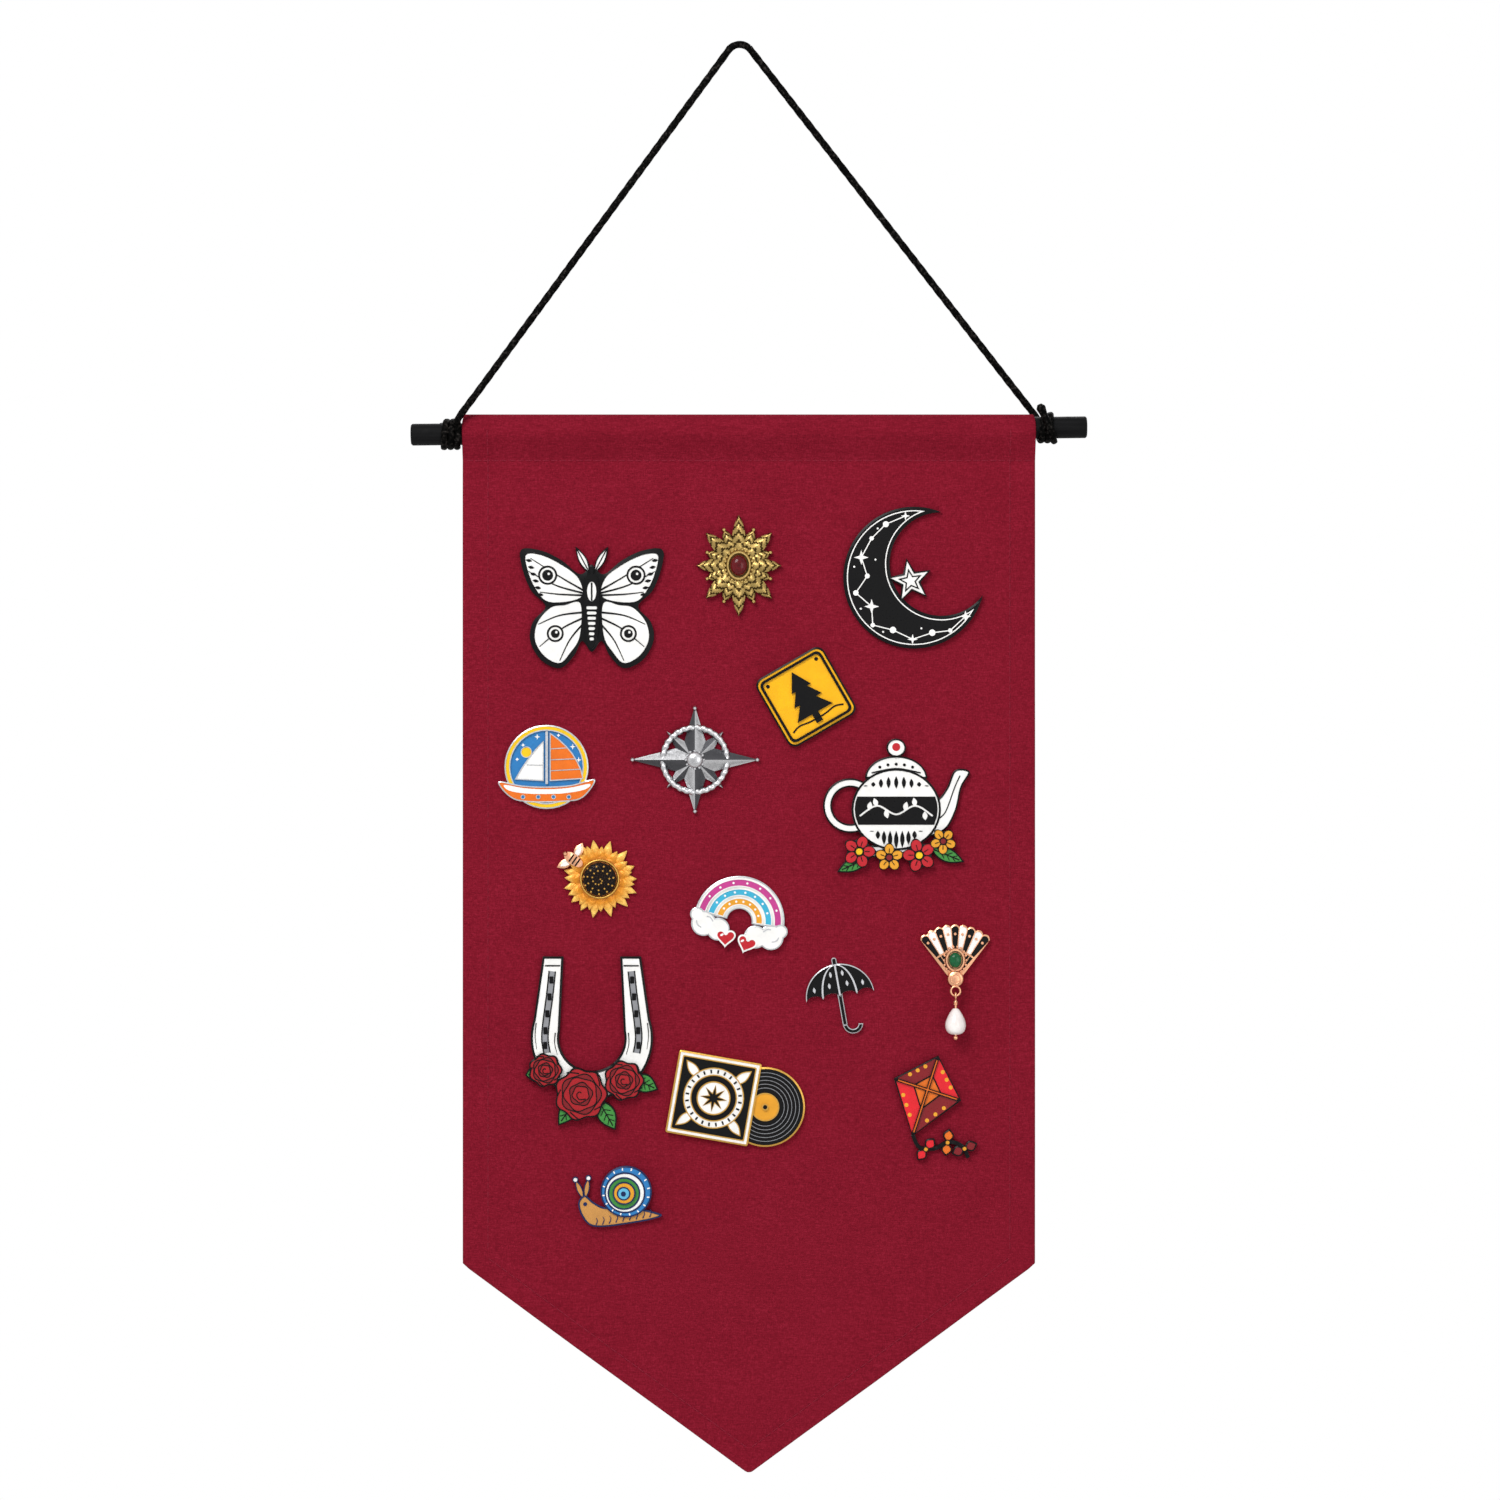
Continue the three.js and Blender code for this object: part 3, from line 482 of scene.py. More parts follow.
class Look:
    """A material under construction."""

    def __init__(self, name):
        self.material = bpy.data.materials.new(name)
        self.material.use_nodes = True
        self.tree = self.material.node_tree
        self.shader = self.tree.nodes["Principled BSDF"]
        self.place = self.node("ShaderNodeTexCoord").outputs["Object"]

    def node(self, kind, **settings):
        made = self.tree.nodes.new(kind)
        for key, value in settings.items():
            setattr(made, key, value)
        return made

    def link(self, source, target):
        self.tree.links.new(source, target)

    def set(self, **values):
        for key, value in values.items():
            self.shader.inputs[key.replace("_", " ")].default_value = value

    def noise(self, per_mm, detail=3, stretch=(1, 1, 1)):
        """Noise with that many blobs per millimetre, as a 0 to 1 value."""
        mapping = self.node("ShaderNodeMapping")
        mapping.inputs["Scale"].default_value = [s * per_mm / MM for s in stretch]
        self.link(self.place, mapping.inputs["Vector"])
        texture = self.node("ShaderNodeTexNoise")
        texture.inputs["Scale"].default_value = 1
        texture.inputs["Detail"].default_value = detail
        self.link(mapping.outputs["Vector"], texture.inputs["Vector"])
        return texture.outputs["Fac"]

    def threads(self, axis, pitch):
        """Parallel threads across an axis, as a 0 to 1 value."""
        texture = self.node("ShaderNodeTexWave", wave_type="BANDS", bands_direction=axis)
        texture.inputs["Scale"].default_value = pi / (10 * pitch * MM)
        texture.inputs["Distortion"].default_value = 0.6
        texture.inputs["Detail"].default_value = 2
        self.link(self.place, texture.inputs["Vector"])
        return texture.outputs["Fac"]

    def math(self, operation, a, b):
        made = self.node("ShaderNodeMath", operation=operation)
        for socket, value in zip(made.inputs, (a, b)):
            if isinstance(value, (int, float)):
                socket.default_value = value
            else:
                self.link(value, socket)
        return made.outputs[0]

    def ramp(self, value, stops, socket="Base Color"):
        """Drives a socket by a value, through (position, colour or grey) stops."""
        made = self.node("ShaderNodeValToRGB")
        while len(made.color_ramp.elements) < len(stops):
            made.color_ramp.elements.new(0.5)
        for element, (position, colour) in zip(made.color_ramp.elements, stops):
            element.position = position
            element.color = [colour] * 3 + [1] if isinstance(colour, (int, float)) else colour
        self.link(value, made.inputs["Fac"])
        self.link(made.outputs["Color"], self.shader.inputs[socket])

    def tone(self, value, low, high):
        self.ramp(value, [(0.3, low), (0.7, high)])

    def gloss(self, per_mm, low, high, detail=3):
        """Roughness that noise varies between two values."""
        self.ramp(self.noise(per_mm, detail), [(0.3, low), (0.7, high)], "Roughness")

    def bump(self, height, depth, strength=0.5):
        """Relief of that depth in millimetres."""
        made = self.node("ShaderNodeBump")
        made.inputs["Distance"].default_value = depth * MM
        made.inputs["Strength"].default_value = strength
        self.link(height, made.inputs["Height"])
        self.link(made.outputs["Normal"], self.shader.inputs["Normal"])


DARK = 0.1  # colours below this are kept from greying with too much gloss


def enamel_look(look, code):
    colour = linear(code)
    look.tone(look.noise(0.25), shade(colour, 0.92), shade(colour, 1.05))
    look.gloss(1.4, 0.26, 0.38)
    look.bump(look.noise(0.5, 2), 0.05)
    look.set(Specular_IOR_Level=0.12 if max(colour[:3]) < DARK else 0.3)


def metal_look(look, code, rough, hollow_patina_and_shade=0.6):
    """Plated metal, darker in its hollows by the given factor, and a little lighter on its raised edges.
    The darkening is patina on the antique finishes and painted shade on the bright ones.
    """
    colour = linear(code)
    look.set(Metallic=1)
    edge = look.node("ShaderNodeNewGeometry").outputs["Pointiness"]
    mottle = look.math("MULTIPLY", look.math("SUBTRACT", look.noise(0.9, 5), 0.5), 0.06)
    look.ramp(look.math("ADD", edge, mottle), [(0.44, shade(colour, hollow_patina_and_shade)), (0.53, shade(colour, 1.1))])
    look.gloss(1.2, rough - 0.08, rough + 0.1, 4)
    look.bump(look.noise(2.5, 4), 0.04)


def petal_look(look):
    """Enamel that lightens from the flower's middle to its tips."""
    across, down = BADGES["sunflower"][:2]
    reach = look.node("ShaderNodeVectorMath", operation="DISTANCE")
    look.link(look.place, reach.inputs[0])
    middle = Vector((HANG_OFFSET + across, BADGE_BACK - RELIEF, BANNER_TOP - down))
    reach.inputs[1].default_value = middle * MM
    mottle = look.math("MULTIPLY", look.noise(0.8), 3 * MM)
    share = look.math("DIVIDE", look.math("ADD", reach.outputs["Value"], mottle), PETAL_REACH * MM)
    look.ramp(share, [(0.5, linear(0x8E4A0E)), (0.72, linear(0xD8881A)), (1, linear(0xF3C766))])
    look.gloss(1.4, 0.3, 0.45)
    look.bump(look.noise(1.6), 0.08)
    look.set(Metallic=0.25, Specular_IOR_Level=0.3)


def cloth_look(look):
    weft = look.noise(1, 1, (0.5, 0.5, 2.6))
    warp = look.noise(1, 1, (2.6, 0.6, 0.6))
    slub = look.noise(1.8, 2)
    bars = look.noise(1, 1, (0.07, 0.07, 0.9))
    cloud = look.noise(0.05)
    tone = look.math("MULTIPLY", weft, 0.32)
    for part, share in ((warp, 0.2), (slub, 0.29), (bars, 0.1), (cloud, 0.09)):
        tone = look.math("ADD", tone, look.math("MULTIPLY", part, share))
    look.ramp(tone, [(0.3, linear(0x620E1D)), (0.5, linear(0x7C1627)), (0.7, linear(0x962237))])
    weave = look.math("MAXIMUM", look.threads("X", 0.62), look.threads("Z", 0.55))
    look.bump(look.math("ADD", weave, look.math("MULTIPLY", weft, 0.8)), 0.12, 0.35)
    look.set(Roughness=0.94, Specular_IOR_Level=0.04)


def thread_look(look):
    look.tone(look.noise(1.5), linear(0x7E192B), linear(0x8E2538))
    look.bump(look.threads("DIAGONAL", 0.3), 0.06, 0.6)
    look.set(Roughness=0.8, Specular_IOR_Level=0.1)


def cord_look(look):
    """Black, with paler flecks painted in as highlights where the fibres catch light."""
    stops = [(0.4, linear(0x020202)), (0.55, linear(0x0B0A09)), (0.74, linear(0x363230))]
    look.ramp(look.noise(0.9), stops)
    look.gloss(1.1, 0.42, 0.6)
    look.bump(look.noise(4, 4), 0.05, 0.6)
    look.set(Specular_IOR_Level=0.02)


def rod_look(look):
    grain = look.noise(1, 4, (0.03, 1.6, 1.6))
    look.tone(grain, linear(0x0B0B0C), linear(0x151516))
    look.gloss(0.4, 0.5, 0.62)
    look.bump(grain, 0.06)
    look.set(Specular_IOR_Level=0.06)


def rubber_look(look):
    look.tone(look.noise(0.8), linear(0x1B1C1F), linear(0x292A2E))
    look.gloss(2, 0.5, 0.68)
    look.bump(look.noise(3), 0.04)
    look.set(Specular_IOR_Level=0.25)


def stone_look(look, code):
    colour = linear(code)
    look.tone(look.noise(0.6, 4), shade(colour, 0.6), shade(colour, 1.2))
    look.gloss(1.5, 0.08, 0.14)
    look.set(Transmission_Weight=0.1, IOR=1.54, Specular_IOR_Level=0.16)


def pearl_look(look):
    look.tone(look.noise(0.3), linear(0xEFE5E1), linear(0xFBF6F3))
    look.gloss(0.9, 0.2, 0.3)
    look.set(Coat_Weight=0.5, Coat_Roughness=0.1, Sheen_Weight=0.15)


ENAMELS = {
    "black": 0x0B0B0C, "white": 0xF6F5F2, "grey": 0x8F9094, "yellow": 0xF2C51C, "road_yellow": 0xFAB60A,
    "orange": 0xE5701C, "blue": 0x2C79B8, "sky": 0x62B6DA, "amber": 0xE6A02A, "magenta": 0xC13F8C,
    "cyan": 0x3DAED0, "red": 0xC01F2A, "dark_red": 0x7E121A, "scarlet": 0xE0202B, "rose_red": 0xA3161F,
    "green": 0x3E8A3C, "tan": 0xC78F4C, "navy": 0x1F2C55, "seed": 0x2A1A12,
}
ANTIQUE_WEAR = 0.18
LOOKS = {  # name: what draws it, and its values
    "gold": (metal_look, 0xB98F45, 0.34),
    "antique_gold": (metal_look, 0xA68D55, 0.36, ANTIQUE_WEAR),
    "dark_gold": (metal_look, 0x3A2C16, 0.42),
    "antique_silver": (metal_look, 0xB4B4B6, 0.3, ANTIQUE_WEAR),
    # a darker copy of the plain silver, painted on one flank of each compass point as shade
    "dark_silver": (metal_look, 0x4C4C4F, 0.34),
    "silver": (metal_look, 0xB9BABD, 0.3),
    "rose_gold": (metal_look, 0xD09A78, 0.3),
    "steel": (metal_look, 0xA9ABAF, 0.32),
    "red_stone": (stone_look, 0x660B14),
    "green_stone": (stone_look, 0x14683C),
    "cloth": (cloth_look,),
    "thread": (thread_look,),
    "cord": (cord_look,),
    "rod": (rod_look,),
    "rubber": (rubber_look,),
    "pearl": (pearl_look,),
    "petal": (petal_look,),
}
MATERIALS = {}


def material(name):
    if name not in MATERIALS:
        look = Look(name)
        draw, *values = LOOKS.get(name) or (enamel_look, ENAMELS[name])
        draw(look, *values)
        MATERIALS[name] = look.material
    return MATERIALS[name]


# Cord
PRESSED = 0.7  # share of its thickness that the cord keeps where it is wound tight
TURN_SLACK = 0.06
TURN_RADIUS = ROD_RADIUS + CORD_RADIUS * PRESSED + TURN_SLACK
TURN_PITCH = CORD_DIAMETER * 0.96  # a little under its thickness, so that the turns touch
FIRST_TURN = BANNER_HALF + WINDING_CLEARANCE + CORD_RADIUS
LOOSE_RADIUS = ROD_RADIUS + CORD_RADIUS + WINDING_CLEARANCE
STEPS_PER_TURN = 24
SWING_STEPS = 6
BEND_STEPS = 8
LEG_STEPS = 14
STRANDS = 4  # braid strands that run each way round
BRAID_PITCH = 5.2
BRAID_RELIEF = 0.07
KNOT_AT = 1.5  # middle of the knot, from the cord's right end
KNOT_SWELL = 0.4
LOOSE_SWELL = 0.1  # the free run is that much thicker than a tight turn
GRIP_REACH = 2.2  # beyond the turns' radius, where the cord is loose
GRIP_FADE = 2
END_TUCK = 0.55  # share of its thickness at a cut end
CORD_STEP = 0.3
CORD_SIDES = 24


def by_rod(along, front, up):
    point = ROD_CENTRE + ROD_ALONG * along + ROD_UP * up
    point.y = -front
    return point


def by_winding(side, out, near, up):
    """A point outward along the rod, toward the side that the winding's lead comes down, and up."""
    return by_rod(side * out, -side * near, up)


def lead_near(side):
    return LOOSE_RADIUS + LEAD_STANDOFFS[side > 0]


def lead_foot(side):
    return by_winding(side, BANNER_HALF + LEAD_OUTS[side > 0], lead_near(side), LEAD_HEIGHT)


def tail_places(side, last_turn):
    """A winding's tail, outward, near and up: the left one rises, the right one stands up in front."""
    if side < 0:
        return [(last_turn + TURN_GAP * t, -TURN_RADIUS, TAIL_RISE * t) for t in (0.5, 1)]
    places = []
    for i in range(1, SWING_STEPS + 1):
        t = i / SWING_STEPS
        angle = t * pi / 2
        radius = TURN_RADIUS + KNOT_STANDOFF * sin(angle)
        places.append((last_turn - KNOT_SWING * t * t, -radius * sin(angle), -radius * cos(angle)))
    out, near, _ = places[-1]
    return places + [(out - KNOT_LEAN * t, near, KNOT_RISE * t) for t in (0.5, 1)]


def cord_run():
    """The free run over the nail, from the left lead to the right one."""
    nail = Vector((0, 0, CORD_RADIUS))
    feet = [lead_foot(side) for side in (-1, 1)]
    spread_half = (feet[0] - nail).angle(feet[1] - nail) / 2
    corner = Vector((0, 0, CORD_RADIUS + CORD_BEND * (1 / sin(spread_half) - 1)))
    ways = [(corner - foot).normalized() for foot in feet]
    spread_half = ways[0].angle(ways[1]) / 2
    bends = [corner - way * CORD_BEND / tan(spread_half) for way in ways]
    centre = corner - (ways[0] + ways[1]).normalized() * CORD_BEND / sin(spread_half)
    first, last = (p - centre for p in bends)
    shares = [i / BEND_STEPS for i in range(BEND_STEPS + 1)]
    over = [first.lerp(last, t).normalized() * CORD_BEND + centre for t in shares]
    legs = [
        [foot.lerp(bend, i / LEG_STEPS) for i in range(LEG_STEPS)]
        for foot, bend in zip(feet, bends)
    ]
    return legs[0] + over + legs[1][::-1]


def winding(side):
    """A winding on the rod, from just below its lead foot to its tail."""
    points = [by_winding(side, FIRST_TURN, (TURN_RADIUS + lead_near(side)) / 2, ENTRY_HEIGHT)]
    turns = LEFT_TURNS if side < 0 else RIGHT_TURNS
    for i in range(int(turns * STEPS_PER_TURN) + 1):
        angle = -tau * i / STEPS_PER_TURN
        out = FIRST_TURN + TURN_PITCH * i / STEPS_PER_TURN
        points.append(by_winding(side, out, TURN_RADIUS * cos(angle), TURN_RADIUS * sin(angle)))
    last_turn = FIRST_TURN + TURN_PITCH * turns
    return points + [by_winding(side, *place) for place in tail_places(side, last_turn)]


def spaced(points, step):
    """Points at an even step along a line."""
    kept = [points[0]]
    gone = 0
    for a, b in zip(points, points[1:]):
        length = (b - a).length
        while gone + length >= step:
            a = a.lerp(b, (step - gone) / length)
            kept.append(a)
            length = (b - a).length
            gone = 0
        gone += length
    return kept


def grip(point):
    """The way out from the rod, and how tight the cord lies on it, from 0 to 1."""
    arm = point - ROD_CENTRE
    arm -= ROD_ALONG * arm.dot(ROD_ALONG)
    tight = min(1, max(0, (TURN_RADIUS + GRIP_REACH - arm.length) / GRIP_FADE))
    return arm.normalized(), tight


def press(point, offset):
    """The cord's surface, flattened against the rod."""
    way, tight = grip(point)
    return offset - way * offset.dot(way) * (1 - PRESSED) * tight


def make_cord():
    knots = winding(-1)[::-1] + cord_run() + winding(1)
    path = spaced(curve(knots, 10), CORD_STEP)
    last = len(path) - 1

    def braid(angle, k):
        along = tau * k * CORD_STEP / BRAID_PITCH
        over = max(sin(STRANDS * angle + along), sin(STRANDS * angle - along))
        to_end = min(k, last - k) * CORD_STEP
        tuck = END_TUCK + (1 - END_TUCK) * min(1, to_end / CORD_RADIUS)
        knot = KNOT_SWELL * exp(-(((last - k) * CORD_STEP - KNOT_AT) / KNOT_AT) ** 2)
        swell = knot + LOOSE_SWELL * (1 - grip(path[k])[1])
        return (CORD_RADIUS + swell - BRAID_RELIEF + BRAID_RELIEF * over) * tuck

    pile = Pile()
    pile.tube(path, CORD_RADIUS, "cord", CORD_SIDES, section=braid, press=press)
    cord = pile.made("cord", "hanger", sharp=60, slot="cord",
                     replaces=("hanging_cord", "winding_left", "winding_right"))


make_cord()


# Rod
def make_rod():
    half = BANNER_HALF + ROD_OVERHANG
    steps = 40
    straight = 2 * half - 2 * ROD_CHAMFER
    end = [(ROD_RADIUS - ROD_CHAMFER * 1.2, -half)]
    end += [(ROD_RADIUS - ROD_CHAMFER * (1 - t), -half + ROD_CHAMFER * t ** 1.5) for t in (0, 0.35, 0.7, 1)]
    profile = end + [(ROD_RADIUS, -half + ROD_CHAMFER + straight * i / steps) for i in range(1, steps)]
    profile += [(radius, -along) for radius, along in reversed(end)]
    pile = Pile()
    pile.loft([
        [by_rod(along, radius * cos(a), radius * sin(a)) for a in reversed(spread(48))]
        for radius, along in profile
    ], "rod")
    pile.made("rod_turned", "hanger", sharp=40, replaces=("rod",), slot="rod")


make_rod()


# Cloth
ROW_STEP = 2
SLEEVE_STEP = 0.9
FRONT_COLUMNS = 124
HEM_COLUMNS = 6
FOLD_COLUMNS = 5
FOLD_SLACK = 0.04
SOLID_SLACK = 0.06
SLEEVE_HEM = 1.2
SLEEVE_FOLD = 0.4  # how tight the sleeve's ends are folded, as a share of a hem's fold
POINT_FOLD = 0.45  # most that a fold takes of the half width near the point
POINT_INNER = 0.04  # least half width that a hem leaves, as a share
CORNER_SOFTNESS = 0.8  # how far the sleeve's ends draw in at the top fold
EDGE_ROLL = 0.2  # how far the rolled edge's middle lies inside the outline
TIP_RADIUS = 2.4
TIP_ROWS = 8
STITCH_LENGTH = 2.5
STITCH_PITCH = 3.1
STITCH_WIDTH = 0.42
STITCH_LIFT = 0.1
STITCH_DIP = 0.26  # from the lift to where its ends go into the cloth
PULL_WIDTH = 1.1  # of the hollow along a line of stitches
PULL_DEPTH = 0.14
RIPPLE = 0.05
SWAY_GROWTH = 30  # below the seam, until the cloth is free to sway
SWAY_LOW = 20  # above the shoulders, where the point's sway begins
SWAY_EDGE = 0.8  # share of the half width where the edges' sway begins
SWAY_REACH = (0.2, 0.5, 1.6)  # everywhere, and more at the edges and the point
WAVES = ((45, 85, 3.7, 1), (18, 30, 9.1, 0.4))  # across, down, place in the noise, share
POINT_SLOPE = hypot(BANNER_HALF, POINT_DEPTH)
POINT_HEM_ACROSS = POINT_HEM * POINT_SLOPE / POINT_DEPTH
POINT_STITCH_ACROSS = POINT_STITCH * POINT_SLOPE / POINT_DEPTH
TIP_MIDDLE = TIP + (EDGE_ROLL * POINT_DEPTH + TIP_RADIUS * POINT_SLOPE) / BANNER_HALF
TIP_ANGLE = atan2(POINT_DEPTH, BANNER_HALF)
TIP_START = TIP_MIDDLE - TIP_RADIUS * cos(TIP_ANGLE)


def point_half(z):
    """Half the width between the slanted edges' lines at a height."""
    return BANNER_HALF * (z - TIP) / (SHOULDER - TIP)


def half_width(z):
    if z < TIP_START:
        return sqrt(max(0, TIP_RADIUS ** 2 - (TIP_MIDDLE - z) ** 2))
    return min(BANNER_HALF, point_half(z)) - EDGE_ROLL


def panel_heights():
    """Heights of the cloth's rows from the seam to the rounded point."""
    rows = round((SEAM - TIP_START) / ROW_STEP)
    heights = [SEAM + (TIP_START - SEAM) * i / rows for i in range(rows)]
    angles = [TIP_ANGLE * (1 - i / TIP_ROWS) for i in range(TIP_ROWS)]
    return heights + [TIP_MIDDLE - TIP_RADIUS * cos(angle) for angle in angles]


def line_pull(x, z):
    """How near a spot is to a line of stitches, from 0 to 1."""
    slanted = point_half(z) - POINT_STITCH_ACROSS - abs(x)
    gaps = (abs(x) - (BANNER_HALF - SIDE_STITCH), slanted * POINT_DEPTH / POINT_SLOPE, z - SEAM)
    return max(exp(-(gap / PULL_WIDTH) ** 2) for gap in gaps)


def sway(x, z):
    """How far the hanging cloth stands off its plane, toward the back."""
    if z > SEAM:
        return 0
    free = min(1, (SEAM - z) / SWAY_GROWTH)
    edge = max(0, abs(x) / BANNER_HALF - SWAY_EDGE) * 5  # 0 to 1 over the outer fifth
    low = max(0, (SHOULDER + SWAY_LOW - z) / (SHOULDER + SWAY_LOW - TIP))
    everywhere, at_edge, at_point = SWAY_REACH
    reach = everywhere + at_edge * edge * edge + at_point * low
    wave = sum(share * noise.noise(Vector((x / a, z / b, c))) for a, b, c, share in WAVES)
    ripple = RIPPLE * sin(tau * (x + z) / STITCH_PITCH) * line_pull(x, z)
    return free * (reach * wave + ripple) + PULL_DEPTH * line_pull(x, z)


def sleeve_line():
    """The cloth's line over the rod, as (depth, height), from the seam behind to the seam in front."""
    mid = SLEEVE_OUTER - CLOTH_THICKNESS / 2
    fall = SLEEVE_CENTRE - TILT_DROP - SLEEVE_CLEARANCE
    knots = [(CLOTH_THICKNESS, SEAM - 1), (CLOTH_THICKNESS * 1.4, SEAM + 2), (mid, fall)]
    knots += arc(0, SLEEVE_CENTRE, mid, 0, 180, 18)
    knots += [(-mid, fall), (-CLOTH_THICKNESS, SEAM + 2), (0, SEAM)]
    line = []
    for (ya, za), (yb, zb) in zip(knots, knots[1:]):
        count = max(1, round(hypot(yb - ya, zb - za) / SLEEVE_STEP))
        line += [(ya + (yb - ya) * i / count, za + (zb - za) * i / count) for i in range(count)]
    for _ in range(2):
        line[1:-1] = [
            ((a[0] + 2 * b[0] + c[0]) / 4, (a[1] + 2 * b[1] + c[1]) / 4)
            for a, b, c in zip(line, line[1:], line[2:])
        ]
    return line


SLEEVE = sleeve_line()


def sleeve_depth(z, front):
    """Depth of the sleeve's front or back layer at a height."""
    line = SLEEVE[len(SLEEVE) // 2:] if front else SLEEVE[:len(SLEEVE) // 2][::-1]
    for (ya, za), (yb, zb) in zip(line, line[1:]):
        if zb <= z <= za:
            return ya + (yb - ya) * (za - z) / (za - zb)
    return line[-1][0]


def cloth_row(z, in_sleeve):
    """One row of the cloth from hem to hem, as (across, how far it is folded back)."""
    fold = CLOTH_THICKNESS / 2 + FOLD_SLACK
    half = half_width(z) - CORNER_SOFTNESS * max(0, 1 - (BANNER_TOP - z) / SLEEVE_OUTER) ** 2
    if in_sleeve:
        inner = half - SLEEVE_HEM
        bend = fold * SLEEVE_FOLD
    else:
        inner = max(half * POINT_INNER, min(BANNER_HALF - SIDE_HEM, point_half(z) - POINT_HEM_ACROSS))
        bend = min(fold, half * POINT_FOLD)
    outer = half - bend
    angles = [pi * i / FOLD_COLUMNS for i in range(FOLD_COLUMNS)]
    row = [(-inner - (outer - inner) * i / HEM_COLUMNS, 2 * bend) for i in range(HEM_COLUMNS)]
    row += [(-outer - bend * sin(a), bend + bend * cos(a)) for a in angles]
    row += [(-outer + outer * i / (FRONT_COLUMNS / 2), 0) for i in range(FRONT_COLUMNS // 2)]
    return row + [(0, 0)] + [(-x, lift) for x, lift in reversed(row)]


def make_cloth():
    line = SLEEVE + [(0, z) for z in panel_heights()]
    verts = []
    for k, (depth, z) in enumerate(line):
        before, after = line[max(k - 1, 0)], line[min(k + 1, len(line) - 1)]
        way = Vector((after[0] - before[0], after[1] - before[1])).normalized()
        in_sleeve = k < len(SLEEVE)
        row = cloth_row(z, in_sleeve)
        for x, lift in row:
            drift = 0 if in_sleeve else sway(x, z)
            verts.append((HANG_OFFSET + x, depth - way.y * lift + drift, z + way.x * lift))
    columns = len(row)
    faces = [
        (r + i, r + columns + i, r + columns + i + 1, r + i + 1)
        for r in range(0, (len(line) - 1) * columns, columns)
        for i in range(columns - 1)
    ]
    pile = Pile()
    pile.add(verts, faces, "cloth")
    cloth = pile.made("cloth_sewn", "banner", sharp=180, replaces=("cloth_pennant",), slot="cloth")
    solid = cloth.modifiers.new("thickness", "SOLIDIFY")
    solid.thickness = (CLOTH_THICKNESS - SOLID_SLACK) * MM
    solid.offset = 0
    return cloth


def stitch_rows():
    """Start and end of each line of stitches."""
    side = BANNER_HALF - SIDE_STITCH
    low = SHOULDER + (POINT_STITCH_ACROSS - SIDE_STITCH) * (SHOULDER - TIP) / BANNER_HALF
    foot = TIP + POINT_STITCH_ACROSS * (SHOULDER - TIP) / BANNER_HALF
    lines = [((-BANNER_HALF + 1, SEAM), (BANNER_HALF - 1, SEAM))]
    for x in (-side, side):
        lines.append(((x, BANNER_TOP - 6), (x, low)))
        lines.append(((x, low), (0, foot)))
    return lines


def make_stitches():
    pile = Pile()
    behind = CLOTH_THICKNESS * 1.5 + FOLD_SLACK
    for start, end in stitch_rows():
        start, end = Vector(start), Vector(end)
        way = (end - start).normalized()
        for i in range(int((end - start).length / STITCH_PITCH)):
            middle = start + way * (i + 0.5) * STITCH_PITCH
            drift = sway(middle.x, middle.y)
            for depth, out in ((CLOTH_FRONT, -1), (behind, 1)):
                path = []
                for t in (-1, -0.85, -0.5, 0, 0.5, 0.85, 1):
                    p = middle + way * t * STITCH_LENGTH / 2
                    lift = STITCH_LIFT - STITCH_DIP * t * t
                    if middle.y > SEAM + 1:
                        depth = sleeve_depth(p.y, out < 0) + out * CLOTH_THICKNESS / 2
                    path.append((HANG_OFFSET + p.x, depth + drift + out * lift, p.y))
                pile.tube(path, STITCH_WIDTH / 2, "thread", 6)
    return pile.made("stitching", "banner", sharp=180, slot="cloth")


cloth = make_cloth()
stitching = make_stitches()


